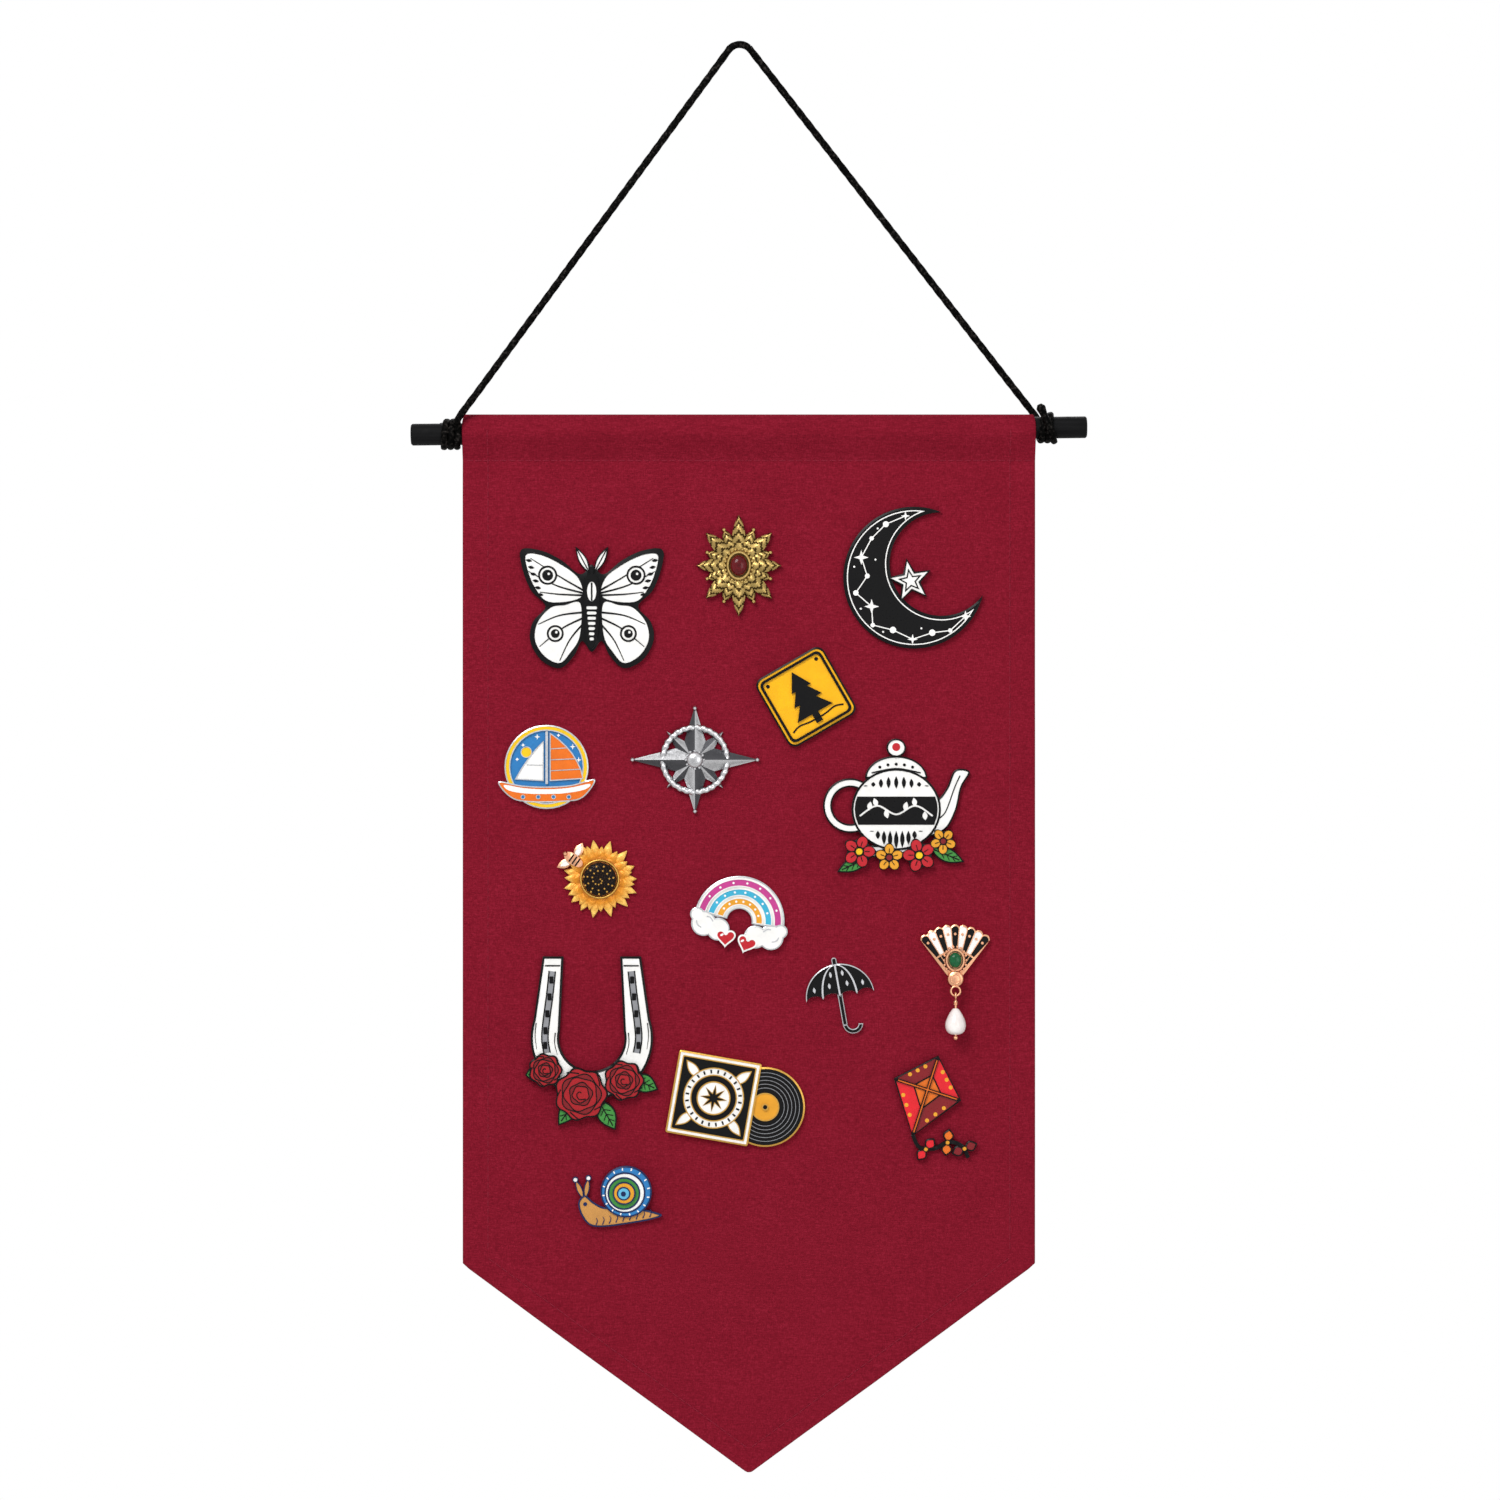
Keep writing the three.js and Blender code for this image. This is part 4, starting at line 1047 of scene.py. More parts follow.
# Badges. A design fills a pile in the badge's own plane.
def moth(pile):
    wings = drawn(mirrored([
        (0, 15.5), (4.5, 13), (11, 18), (18.5, 21.6), (25.8, 22), (25.6, 15.5), (22.3, 7), (17, 1.2),
        (21.6, -4.5), (22.6, -11.5), (18.6, -18.5), (11.8, -21.5), (6.6, -17), (3.6, -11.5), (0, -15.5),
    ]))
    fore = drawn([
        (4.2, 4.4), (4.8, 11.2), (11, 16.3), (18.5, 19.9), (23.9, 20.2), (23.8, 15.6), (20.9, 8.2),
        (15.6, 2.8),
    ])
    hind = drawn([
        (4.2, 2.2), (10, 1.6), (15.2, 0.6), (19.9, -4.8), (20.8, -11.2), (17.4, -17), (11.9, -19.6),
        (7.9, -15.8), (4.4, -9.6),
    ])
    pile.metal(PLATE, "black", wings)
    pile.paint(PLATE, "white", *both(fore), *both(hind))
    for knots in (
        [(3, 7), (11, 11.6), (22.5, 18.8)], [(3, 6), (13, 8.8), (23.2, 14)],
        [(3, 5.2), (12, 5.6), (19, 6.4)], [(3, -1), (12, -2.2), (19.6, -5.4)],
        [(3, -3), (11, -7), (19.2, -13.6)], [(3, -5), (8, -11), (11.8, -18.8)],
    ):
        pile.metal(PLATE, "black", *both(stroke(knots, 0.75, 0.35)))
    for u, v, r in ((-16.2, 12.6, 3.5), (16.2, 12.6, 3.5), (-13.4, -8.8, 3.1), (13.4, -8.8, 3.1)):
        pile.metal(PLATE, "black", oval(u, v, r))
        pile.paint(PLATE, "white", oval(u, v, r - 0.7))
        pile.metal(PLATE, "black", oval(u, v, r - 1.5))
        pile.paint(PLATE, "white", oval(u + 0.4, v + 0.5, 0.5))
    for k in range(6):
        for s in (-1, 1):
            spot = leaf(s * (24.3 - 0.85 * k), 18.2 - 2.5 * k, 90 + s * 100, 2.4, 1.1)
            pile.metal(PLATE, "black", spot)
    pile.metal(HIGH_RELIEF, "black", oval(0, 1, 2.8, 15.5))
    for k in range(7):
        pile.paint(HIGH_RELIEF, "white", rounded_box(0, 0.6 - 1.9 * k, 3.9 - 0.38 * k, 1.15, 0.5))
    pile.paint(HIGH_RELIEF, "white", oval(0, 6.6, 1.7, 3.6))
    pile.metal(HIGH_RELIEF, "black", stroke([(0, 3.2), (0, 9.8)], 0.6))
    for u, lean in ((0.6, 62), (-0.6, 118)):
        pile.cell(PLATE, "white", leaf(u, 13, lean, 11.5, 3.2), line=0.45)
        pile.metal(PLATE, "black", stroke([(u, 13), polar(u, 13, 10.5, radians(lean))], 0.4))


def ridged_leaf(pile, lean, start, length, width, low, high, look, hollow, pointed=False):
    """A leaf standing out from the middle, with a ridge, side veins and darker hollows."""
    along, across = 22, 10
    row = across + 3
    base = len(pile.verts)

    def veining(t, b):
        return sin(9 * pi * t + 5 * abs(b))

    def put(face, face_look):
        pile.faces.append([base + k for k in face])
        pile.looks.append(face_look)

    for i in range(along + 1):
        t = i / along
        if pointed:
            half = width * 0.9 * sqrt(t + 0.08) * (1 - t) ** 0.9
        else:
            half = width / 2 * sin(pi * min(0.999, 0.12 + 0.88 * t)) ** 0.8
        half = max(0.04, half)
        for j in range(-1, across + 2):
            b = max(-1, min(1, 2 * j / across - 1))
            rise = (1 - abs(b) ** 1.6) * (0.3 + 0.7 * sin(pi * t))
            vein = 0.2 * veining(t, b) * (1 - abs(b)) * (abs(b) > 0.05)
            level = low + (high - low) * rise + vein if 0 <= j <= across else low * 0.3
            spot = placed([(start + length * t, b * half)], 0, 0, lean)[0]
            pile.verts.append(Vector((*spot, level)))
    for i in range(along):
        k = i * row
        for j in range(row - 1):
            sunk = j in (0, row - 2) or veining((i + 0.5) / along, (2 * j - 1) / across - 1) < -0.45
            put((k + j, k + row + j, k + row + j + 1, k + j + 1), hollow if sunk else look)
        put((k, k + row - 1, k + 2 * row - 1, k + row), hollow)
    put(range(row), hollow)
    put(range(along * row + row - 1, along * row - 1, -1), hollow)


def bezel(pile, stone, at, look, beads):
    """A collar round a stone with a ring of beads outside."""
    inner = stone + STONE_GAP
    outer = inner + BEZEL_WALL
    top = RELIEF + BEZEL_RISE
    pile.turned([
        (outer, PLATE), (outer, top - 0.4), (outer - 0.3, top), (inner + 0.3, top), (inner, top - 0.3),
        (inner, RELIEF),
    ], look, at, STONE_STRETCH)
    reach = outer + 0.45
    for u, v in oval(*at, reach, reach * STONE_STRETCH, beads):
        pile.bead((u, v, RELIEF), 0.55, look, 8)


def leaf_burst(pile):
    pile.turned([(8.4, 0), (8.6, 0.4), (8.2, PLATE), (0.5, PLATE)], "dark_gold", stretch=1.09)
    for i in (*range(1, 16, 2), *range(0, 16, 2)):
        lean = i * 360 / 16
        tall = 1 + 0.19 * sin(radians(lean)) ** 2
        reach, top = (12.4 * tall, RELIEF) if i % 2 else (15.6 * tall, HIGH_RELIEF)
        ridged_leaf(pile, lean, 3.4, reach - 3.4, 4.8, top - 1.2, top, "antique_gold", "dark_gold")
        if i % 2:
            pile.bead((*polar(0, 0, reach - 0.2, radians(lean)), 1.3), 0.8, "antique_gold", 10)
    bezel(pile, RED_STONE[0], (0, 0), "antique_gold", 24)


def bow(by):
    """A crescent, moved inward from its edge."""
    outer, inner = 26 - by, 19 + by
    at = Vector((10, 5))
    apart = at.length
    lean = degrees(atan2(at.y, at.x))
    horn = degrees(acos((outer ** 2 + apart ** 2 - inner ** 2) / (2 * outer * apart)))
    turn = degrees(acos((inner ** 2 + apart ** 2 - outer ** 2) / (2 * inner * apart)))
    outside = arc(0, 0, outer, lean + horn, lean + 360 - horn, 60)
    inside = arc(at.x, at.y, inner, lean + 180 + turn, lean + 180 - turn, 48)
    return outside + inside[1:-1]


def crescent(pile):
    for by, look in ((0, "black"), (1.3, "white")):
        pile.metal(PLATE, look, bow(by))
        pile.paint(PLATE, "black", bow(1.7 if by else 0.7))
    points = [
        (-3.2, 22.6, 0.8), (-10.4, 19.6, 1.1), (-15.6, 14.4, 0.8), (-19.4, 7.4, 1.3), (-17.2, 0.6, 0.9),
        (-21.4, -5.6, 1), (-15.6, -10.6, 1.3), (-15.2, -17.4, 0.8), (-7.8, -19.2, 1.2), (-0.6, -22.6, 0.9),
        (6.6, -20.2, 1.2), (13.2, -19.4, 0.8), (18.8, -14.2, 1),
    ]
    for a, b in zip(points, points[1:]):
        pile.metal(PLATE, "white", stroke([a[:2], b[:2]], 0.4))
    for k, (u, v, r) in enumerate(points):
        pile.metal(PLATE, "white", dot(u, v, r, 20) if k % 3 else star(u, v, r * 2.1, r * 0.7, 4, 90))
    for spot in ((-22, 4), (-13.4, 18), (-19.6, -11.4), (-11.4, -19.9), (2.6, -18.6), (-14.2, 6.6)):
        pile.metal(PLATE, "white", dot(*spot, 0.38, 12))
    at = (-1.4, -1.2)
    pile.cell(RELIEF, "white", star(*at, 8.4, 3.7, 5, 100), line=0.7)
    pile.metal(RELIEF, "black", star(*at, 4.6, 2, 5, 100))
    pile.paint(RELIEF, "white", star(*at, 3.4, 1.45, 5, 100))


def sign(pile):
    def board(trim, radius):
        return rounded_box(0, 0, 28.4 - trim, 28.4 - trim, radius)

    pine = mirrored([
        (0, -10.4), (1.3, -10.4), (1.3, -6.8), (7.4, -6.8), (3.4, -1.6), (5.8, -1.6), (2.4, 3.4), (4, 3.4),
        (0, 10.4),
    ])
    pile.metal(PLATE, "black", board(0, 3.2))
    pile.paint(PLATE, "road_yellow", board(1.3, 2.8))
    pile.metal(RELIEF, "black", board(2.8, 2.2))
    pile.paint(PLATE, "road_yellow", board(4.8, 1.5))
    pile.metal(RELIEF, "black", pine)
    hills = [(-10.6, -9.2), (-7.4, -8.2), (-3, -8.8), (3, -8.8), (7.4, -8.2), (10.6, -9.2)]
    pile.metal(PLATE, "black", stroke(hills, 0.6), dot(-10.2, 10.2, 0.7), dot(10.2, 10.2, 0.7))


def boat(pile):
    hull = drawn([
        (-17.6, -5.4), (-9, -6.8), (0, -7.2), (9, -6.6), (17.8, -4.6), (13.4, -11.2), (6, -12.8),
        (-8, -12.8), (-14, -10.6),
    ])
    stripe = drawn([
        (-15.4, -6.6), (-8, -7.8), (0, -8.2), (8, -7.7), (15.8, -6.2), (14.2, -8.2), (7, -9.6), (0, -9.9),
        (-8, -9.7), (-13.8, -8.6),
    ])
    main_sail = [
        (1.2, -5.2), (13.6, -4.4), (12.8, -1), (11.4, 2), (9.6, 5), (7.4, 7.6), (4.6, 10.2), (1.2, 12.6),
    ]
    fore_sail = [(-1, -5.2), (-1, 9.6), (-3.8, 6.8), (-6.4, 3.6), (-9.2, -0.4), (-11.6, -4.6)]
    pile.metal(RELIEF, "silver", oval(0, 0, 15.4))
    pile.paint(RELIEF, "yellow", oval(0, 0, 14.9))
    pile.metal(RELIEF, "silver", oval(0, 0, 13.7))
    pile.paint(PLATE, "blue", oval(0, 0, 13.3))
    sky = [(-8.6, 8), (-3.4, 11), (4.4, 11.6), (9.6, 7.4), (-10.8, 2.8), (11.8, 2.6)]
    for k, spot in enumerate(sky):
        pile.metal(PLATE, "white", star(*spot, 1.1 if k % 2 else 0.7, 0.35, 4, 90))
    pile.cell(PLATE, "yellow", dot(-7.4, 5.4, 2.1, 24), "silver", 0.3)
    pile.cell(RELIEF, "orange", main_sail, "silver", 0.4)
    for knots in ([(1.4, -1.4), (12.6, -0.8)], [(1.4, 2.6), (10.8, 3)], [(1.4, 6.6), (7.8, 7)]):
        pile.metal(RELIEF, "silver", stroke(knots, 0.35))
    pile.cell(RELIEF, "white", fore_sail, "silver", 0.4)
    pile.metal(RELIEF, "silver", stroke([(-7.2, 0.8), (-1, 0.6)], 0.35))
    pile.metal(RELIEF + 0.2, "silver", rounded_box(0.1, 3.4, 0.9, 19.4, 0.3))
    pile.cell(RELIEF, "orange", hull, "silver", 0.45)
    pile.paint(RELIEF, "white", stripe)
    for u in (-8.6, -3, 2.6, 8.2):
        pile.cell(RELIEF, "blue", dot(u, -11, 0.85), "silver", 0.25)


def spike(pile, lean, reach, half, height):
    """A compass point with a ridge, bright on one flank and dark on the other: the dark flank is painted
    shade in a darker copy of the silver.
    """
    steps, row, foot_level = 8, 7, 0.7
    for side, look in ((-1, "antique_silver"), (1, "dark_silver")):
        verts = []
        for i in range(steps + 1):
            t = i / steps
            ridge = Vector((reach * t, 0, foot_level + (height - foot_level) * (1 - t)))
            foot = Vector((reach * t * 0.999, side * half * (1 - t), foot_level))
            points = [ridge.lerp(foot, k / 4) for k in range(5)]
            points += [Vector((foot.x, foot.y, 0)), Vector((ridge.x, 0, 0))]
            spots = placed([p.xy for p in points], 0, 0, lean)
            verts += [(*spot, p.z) for spot, p in zip(spots, points)]
        faces = []
        for i in range(steps):
            for k in range(i * row, i * row + row - 1):
                quad = (k, k + 1, k + row + 1, k + row)
                faces.append(quad if side < 0 else quad[::-1])
        pile.add(verts, faces, look)


def compass(pile):
    points = ((0, 23.6), (90, 19.6), (180, 23.6), (270, 19.6))

    def rope(angle, turn):
        return 1.15 + 0.16 * sin(30 * angle + turn)

    for lean in (45, 135, 225, 315):
        spike(pile, lean, 14.6, 4.4, 3.6)
    for lean, reach in points:
        spike(pile, lean, reach, 6, 4.6)
    pile.hoop((0, 0, 1.15), 11.8, 1.2, "antique_silver", sides=240, section=rope)
    boss = [(3, 3), (3, 4.2), (2.7, 4.9), (1.9, 5.4), (0.8, 5.6), (0.1, 5.65)]
    pile.turned(boss, "antique_silver")
    for spot in dot(0, 0, 3.3, 12):
        pile.bead((*spot, 4.2), 0.55, "antique_silver", 8)
    for lean, reach in points:
        pile.bead((*polar(0, 0, reach - 0.7, radians(lean)), 0.9), 0.9, "antique_silver", 12)


def bloom(pile, u, v, radius, look, heart_look, turn):
    """A flower of five separate enamel petals round a dot."""
    petals = 5
    pile.metal(HIGH_RELIEF, "black", flower(u, v, radius, petals, 0.3, turn))
    for k in range(petals):
        angle = turn + tau * k / petals
        middle = polar(u, v, radius * 0.58, angle)
        pile.paint(HIGH_RELIEF, look, oval(*middle, radius * 0.34, radius * 0.3, 20, degrees(angle)))
        vein = [polar(u, v, radius * share, angle) for share in (0.34, 0.62)]
        pile.metal(HIGH_RELIEF, "black", stroke(vein, 0.28))
    pile.metal(HIGH_RELIEF, "black", dot(u, v, radius * 0.3, 20))
    pile.paint(HIGH_RELIEF, heart_look, dot(u, v, radius * 0.2))


def veined_leaf(pile, u, v, lean, length, width):
    def at(along, aside=0):
        return placed([(length * along, aside)], u, v, lean)[0]

    pile.cell(RELIEF, "green", leaf(u, v, lean, length, width), line=0.5)
    pile.metal(RELIEF, "black", stroke([(u, v), at(0.86)], 0.4))
    for t in (0.35, 0.5, 0.65):
        for side in (-1, 1):
            tip = at(t + 0.12, side * width * 0.3 * sin(pi * (t + 0.12)))
            pile.metal(RELIEF, "black", stroke([at(t), tip], 0.28))


def teapot(pile):
    spout = drawn([
        (11, -11), (18, -9.4), (22, -2.4), (24, 6), (27, 11.8), (21.6, 12.4), (18.6, 6), (15, 1.6), (10, 2),
    ])
    lid = [(u, 9.4 + (v - 9.4) * 0.72) for u, v in arc(0, 9.4, 11.4, 0, 180, 30)]
    handle = arc(-16.8, -0.6, 10, 48, 312, 40) + arc(-16.8, -0.6, 6.8, 312, 48, 36)
    pile.cell(PLATE, "white", handle)
    pile.cell(PLATE, "white", spout)
    pile.metal(PLATE, "black", stroke([(14.5, -6), (18, -3), (21.4, 6), (23.4, 10.4)], 0.4))
    pile.cell(PLATE, "white", lid)
    pile.metal(PLATE, "black", stroke([(-9, 11.4), (0, 13), (9, 11.4)], 0.5))
    for u in (-6, -3, 0, 3, 6):
        pile.metal(PLATE, "black", dot(u, 14.6 - 0.03 * u * u, 0.55, 14))
    pile.cell(RELIEF, "white", oval(0, 20.6, 3.6, 3.4))
    pile.paint(RELIEF, "red", dot(0, 20.9, 1.5, 20))
    pile.cell(PLATE, "white", rounded_box(0, -17.4, 19, 4.4, 1))
    pile.cell(PLATE, "white", oval(0, -2, 16.4, 15), line=0.75)
    belt = [(15.2 * cos(a), -2 + 13.8 * sin(a)) for a in map(radians, (-24, -12, 0, 10, 20))]
    pile.metal(PLATE, "black", belt + flipped(belt)[::-1])
    for k in range(-4, 5):
        u = k * 2.8
        bow_up = u * u
        pile.metal(PLATE, "black", leaf(u, 10.2 - 0.03 * bow_up, -90, 4.6 - 0.04 * bow_up, 1.5))
        pile.metal(PLATE, "black", leaf(u * 0.8, -16.4 + 0.05 * bow_up, 90, 6.6 - 0.05 * bow_up, 1.6))
    vine = [(-13.4, -4.4), (-7, -0.6), (0, -3.8), (7, -0.6), (13.4, -4.4)]
    pile.paint(PLATE, "white", stroke(vine, 0.7))
    for stem in (
        (-10, -2.4, 80), (-4, -2, -75), (3, -2.4, 75), (10.4, -2.6, -85), (-7, -1, 110), (7, -1, 100),
    ):
        pile.paint(PLATE, "white", leaf(*stem, 3.4, 1.9))
    veined_leaf(pile, -9, -19, 205, 14, 5.4)
    veined_leaf(pile, 12, -16, -22, 14, 5.4)
    bloom(pile, -13.6, -17.4, 6.2, "red", "yellow", 0)
    bloom(pile, -2.6, -19.6, 5.4, "amber", "dark_red", 0.3)
    bloom(pile, 8.4, -18.8, 6.4, "red", "yellow", 0.6)
    bloom(pile, 17.2, -13.6, 5, "amber", "dark_red", 0.9)


def sunflower(pile):
    pile.turned([(10.4, 0), (10.6, 0.4), (10, 0.9), (0.5, 0.9)], "gold")
    petals = 15
    start = 3.6
    for reach, top, turn in ((PETAL_REACH, PLATE, 0), (PETAL_REACH - 1.5, RELIEF, 180 / petals)):
        for k in range(petals):
            lean = turn + k * 360 / petals + 4 * sin(5 * k)
            length = reach - start - 0.9 * (sin(7 * k + reach) > 0.3)
            ridged_leaf(pile, lean, start, length, 5.4, top - 0.7, top, "petal", "petal", pointed=True)
    pile.hoop((0, 0, RELIEF), SEED_RADIUS + 0.5, 0.45, "gold")
    bee = Vector((-9.6, 7.2))
    bee_lean = 145
    wings = ((-9.2, 7.6, 62), (-9.8, 7, 205))
    pile.metal(HIGH_RELIEF, "rose_gold", *(leaf(*wing, 6.4, 3.2) for wing in wings))
    pile.paint(HIGH_RELIEF, "white", *(leaf(*wing, 5.4, 2) for wing in reversed(wings)))
    pile.metal(HIGH_RELIEF + 0.3, "rose_gold", oval(*bee, 3.9, 2.1, 30, bee_lean))
    for t in (-1.9, -0.5, 0.9):
        stripe = placed([(t, -1.6), (t, 1.6)], *bee, bee_lean)
        pile.metal(HIGH_RELIEF + 0.15, "black", stroke(stripe, 0.6))
    pile.strike()
    pile.bead((*polar(*bee, 3.6, radians(bee_lean)), HIGH_RELIEF - 0.2), 1, "rose_gold")


def rainbow(pile):
    low = -4.6
    pile.cell(PLATE, "white", band(low, 16.6, 4.6, 0, 180, 48, 30), "silver", 0.45)
    for outer, inner, look in ((15.6, 12.8, "magenta"), (12, 9.4, "cyan"), (8.6, 6, "amber")):
        pile.cell(RELIEF, look, band(low, outer, inner, 4, 176, 40, 40), "white", 0.3)
        for k in range(7):
            spot = polar(0, low, (outer + inner) / 2, radians(28 + k * 20.6))
            pile.metal(RELIEF, "white", dot(*spot, 0.42, 14))
    right_puffs = ((12.6, -8, 4.6), (7, -9, 4.2), (15.6, -5.2, 2.6))
    puffs = [(s * u, v, r) for s in (-1, 1) for u, v, r in right_puffs]
    pile.metal(RELIEF, "silver", *(oval(*puff) for puff in puffs))
    pile.paint(RELIEF, "white", *(oval(u, v, r - 0.45) for u, v, r in puffs))
    for s in (-1, 1):
        for knots in ([(9.4, -6.6), (10.6, -5.4), (12, -5.2)], [(13.2, -9.6), (14.8, -8.8), (15.4, -7.4)]):
            pile.metal(RELIEF, "silver", stroke([(s * u, v) for u, v in knots], 0.4))
    for u, v, lean in ((-3.6, -12, 8), (4.2, -12.6, -10)):
        pile.cell(HIGH_RELIEF, "red", heart(u, v, 7.4, lean), "white", 0.6)
        pile.metal(HIGH_RELIEF, "white", oval(u - 1.6, v + 1.3, 0.7, 0.4, 14, 40))


def umbrella(pile):
    low, lobe, gap = -0.6, 6.3, 0.32

    def squashed(points, share, rise=0):
        return [(u, low + (v - low) * share + rise) for u, v in points]

    def scallop(left, trim):
        return arc(left + lobe / 2, low, lobe / 2 - trim, 180, 0, 12)

    def rib(u, shift):
        """A rib from the crown to the lower edge, moved sideways."""
        angles = [radians(78 - 76 * k / 16) for k in range(17)]
        return [(u * cos(a) + shift, (12.1 - gap) * sin(a) + low) for a in angles]

    lefts = (-2 * lobe, -lobe, 0, lobe)
    dome_line = squashed(arc(0, low, 2 * lobe, 0, 180, 44), 0.96)
    edge = [p for left in lefts for p in squashed(scallop(left, 0)[:-1], 0.5)]
    hook = arc(2.9, -11, 3.7, 180, 350, 24) + arc(2.9, -11, 2.1, 350, 180, 24)
    for outline in (rounded_box(0, -4.6, 1.7, 13.2, 0.4), hook, rounded_box(0, 12.4, 1.8, 3, 0.8)):
        pile.cell(PLATE, "black", outline, "silver", 0.3)
    pile.metal(PLATE, "silver", dome_line + edge[1:])
    for left in lefts:
        foot = squashed(scallop(left, gap), 0.5, gap)
        pile.paint(PLATE, "black", rib(left, gap) + foot[1:-1] + rib(left + lobe, -gap)[::-1])
    for u, v in ((-9, 3.2), (-3.3, 3.8), (3.3, 3.8), (9, 3.2), (-2.2, 7.8), (2.2, 7.8)):
        pile.metal(PLATE, "silver", leaf(u, v - 1, 90, 2.2, 1))


RIVET = (0, -10.4)
EYE_CENTRE = (RIVET[0], RIVET[1] - 4.4)
FAN_STONE = (0, -3.6)
FAN_SPREAD = 42
FAN_BLADES = 9


def on_fan(radius, step):
    angle = radians(90 - FAN_SPREAD + 2 * FAN_SPREAD * step / FAN_BLADES)
    return polar(*RIVET, radius, angle)


def fan(pile):
    def crown(radius, blade, first):
        """The rounded end of a blade."""
        return [on_fan(radius + 0.9 * sin(pi * k / 6), blade + k / 6) for k in range(first, 6)]

    rim = [p for i in range(FAN_BLADES) for p in crown(19, i, 0)]
    feet = [(RIVET[0] + 2, RIVET[1]), (RIVET[0] - 2, RIVET[1])]
    pile.metal(RELIEF, "rose_gold", feet[:1] + rim + [on_fan(19, FAN_BLADES)] + feet[1:])
    gap = 0.05
    for i in range(FAN_BLADES):
        blade = [on_fan(10.4, i + gap * 1.6), on_fan(18.4, i + gap)] + crown(18.4, i, 1)
        blade += [on_fan(18.4, i + 1 - gap), on_fan(10.4, i + 1 - gap * 1.6)]
        stick = [on_fan(4, i + 0.16), on_fan(9.8, i + 0.1), on_fan(9.8, i + 0.9), on_fan(4, i + 0.84)]
        pile.paint(RELIEF, "white" if i % 2 else "black", blade)
        pile.paint(RELIEF, "black", stick)
        pile.metal(RELIEF, "rose_gold", dot(*on_fan(16.4, i + 0.5), 0.5, 14))
    pile.strike()
    top = EYE_LEVEL + WIRE_RADIUS
    boss = [(3, 0.2), (3, EYE_LEVEL - 0.6), (2.7, EYE_LEVEL), (1.9, top), (0.1, top)]
    pile.turned(boss, "rose_gold", RIVET)
    pile.hoop((*RIVET, EYE_LEVEL + 0.3), 1.7, 0.28, "rose_gold")
    pile.hoop((*EYE_CENTRE, EYE_LEVEL), EYE_RADIUS, WIRE_RADIUS, "rose_gold")
    bezel(pile, GREEN_STONE[0], FAN_STONE, "rose_gold", 18)


def rose(pile, u, v, radius):
    """Curled petals round a bud."""
    pile.metal(HIGH_RELIEF, "black", flower(u, v, radius, 7, 0.12))
    pile.paint(HIGH_RELIEF, "rose_red", flower(u, v, radius - 0.6, 7, 0.12))
    for turn, share in enumerate((0.78, 0.66, 0.46, 0.34)):
        petals = flower(u, v, radius * share, 5, 0.12, 0.7 * turn)
        pile.cell(HIGH_RELIEF, "rose_red" if turn % 2 else "dark_red", petals, line=0.35)
    for k in range(5):
        angle = tau * k / 5 + 0.4
        curl = [polar(u, v, radius * r, angle + a) for r, a in ((0.76, 0), (0.86, 0.32), (0.94, 0.5))]
        pile.metal(HIGH_RELIEF, "black", stroke(curl, 0.4))
    swirl = [polar(u, v, radius * 0.05 * k, 1.1 * k) for k in range(1, 6)]
    pile.metal(HIGH_RELIEF, "black", stroke(swirl, 0.35))


def horseshoe(pile):
    outside = [(18, 30), *arc(0, 0, 22.4, 18, -198, 60), (-18, 30)]
    inside = [(-10.4, 30), *arc(0, 0, 12, -192, 12, 48), (10.4, 30)]
    pile.cell(PLATE, "white", outside + inside, line=0.8)
    for s in (-1, 1):
        def line(width, taper, *knots):
            return stroke([(s * u, v) for u, v in knots], width, taper)

        groove = ((14.5, 24.6), (15.4, 16), (16.6, 7), (17.2, 0), (16.4, -5.4))
        pile.metal(PLATE, "black", line(2.8, 1, *groove))
        pile.paint(PLATE, "grey", line(1.9, 1, *groove))
        for u, v in ((14.8, 21.4), (15.5, 15.2), (16.3, 9), (17, 2.8), (17.1, -2.6)):
            pile.metal(PLATE, "black", rounded_box(s * u, v, 1.5, 2.6, 0.3))
        pile.metal(PLATE, "black", line(0.5, 1, (11.6, 26.6), (17.2, 26.6)))
        pile.metal(PLATE, "black", line(0.4, 0.3, (20.4, 5.6), (20.8, 1), (20.2, -4)))
        pile.metal(PLATE, "black", line(0.4, 0.3, (13.4, 2), (13.6, -2), (12.6, -6)))
    for stem in ((-4, -20, 235, 14.6), (2, -22, 300, 13.4), (14, -14, -25, 11.4), (-16, -12, 190, 8.6)):
        veined_leaf(pile, *stem, 7)
    for place in ((-4, -20.4, 10), (11.8, -15.4, 7.6), (-17, -11.6, 6.4)):
        rose(pile, *place)


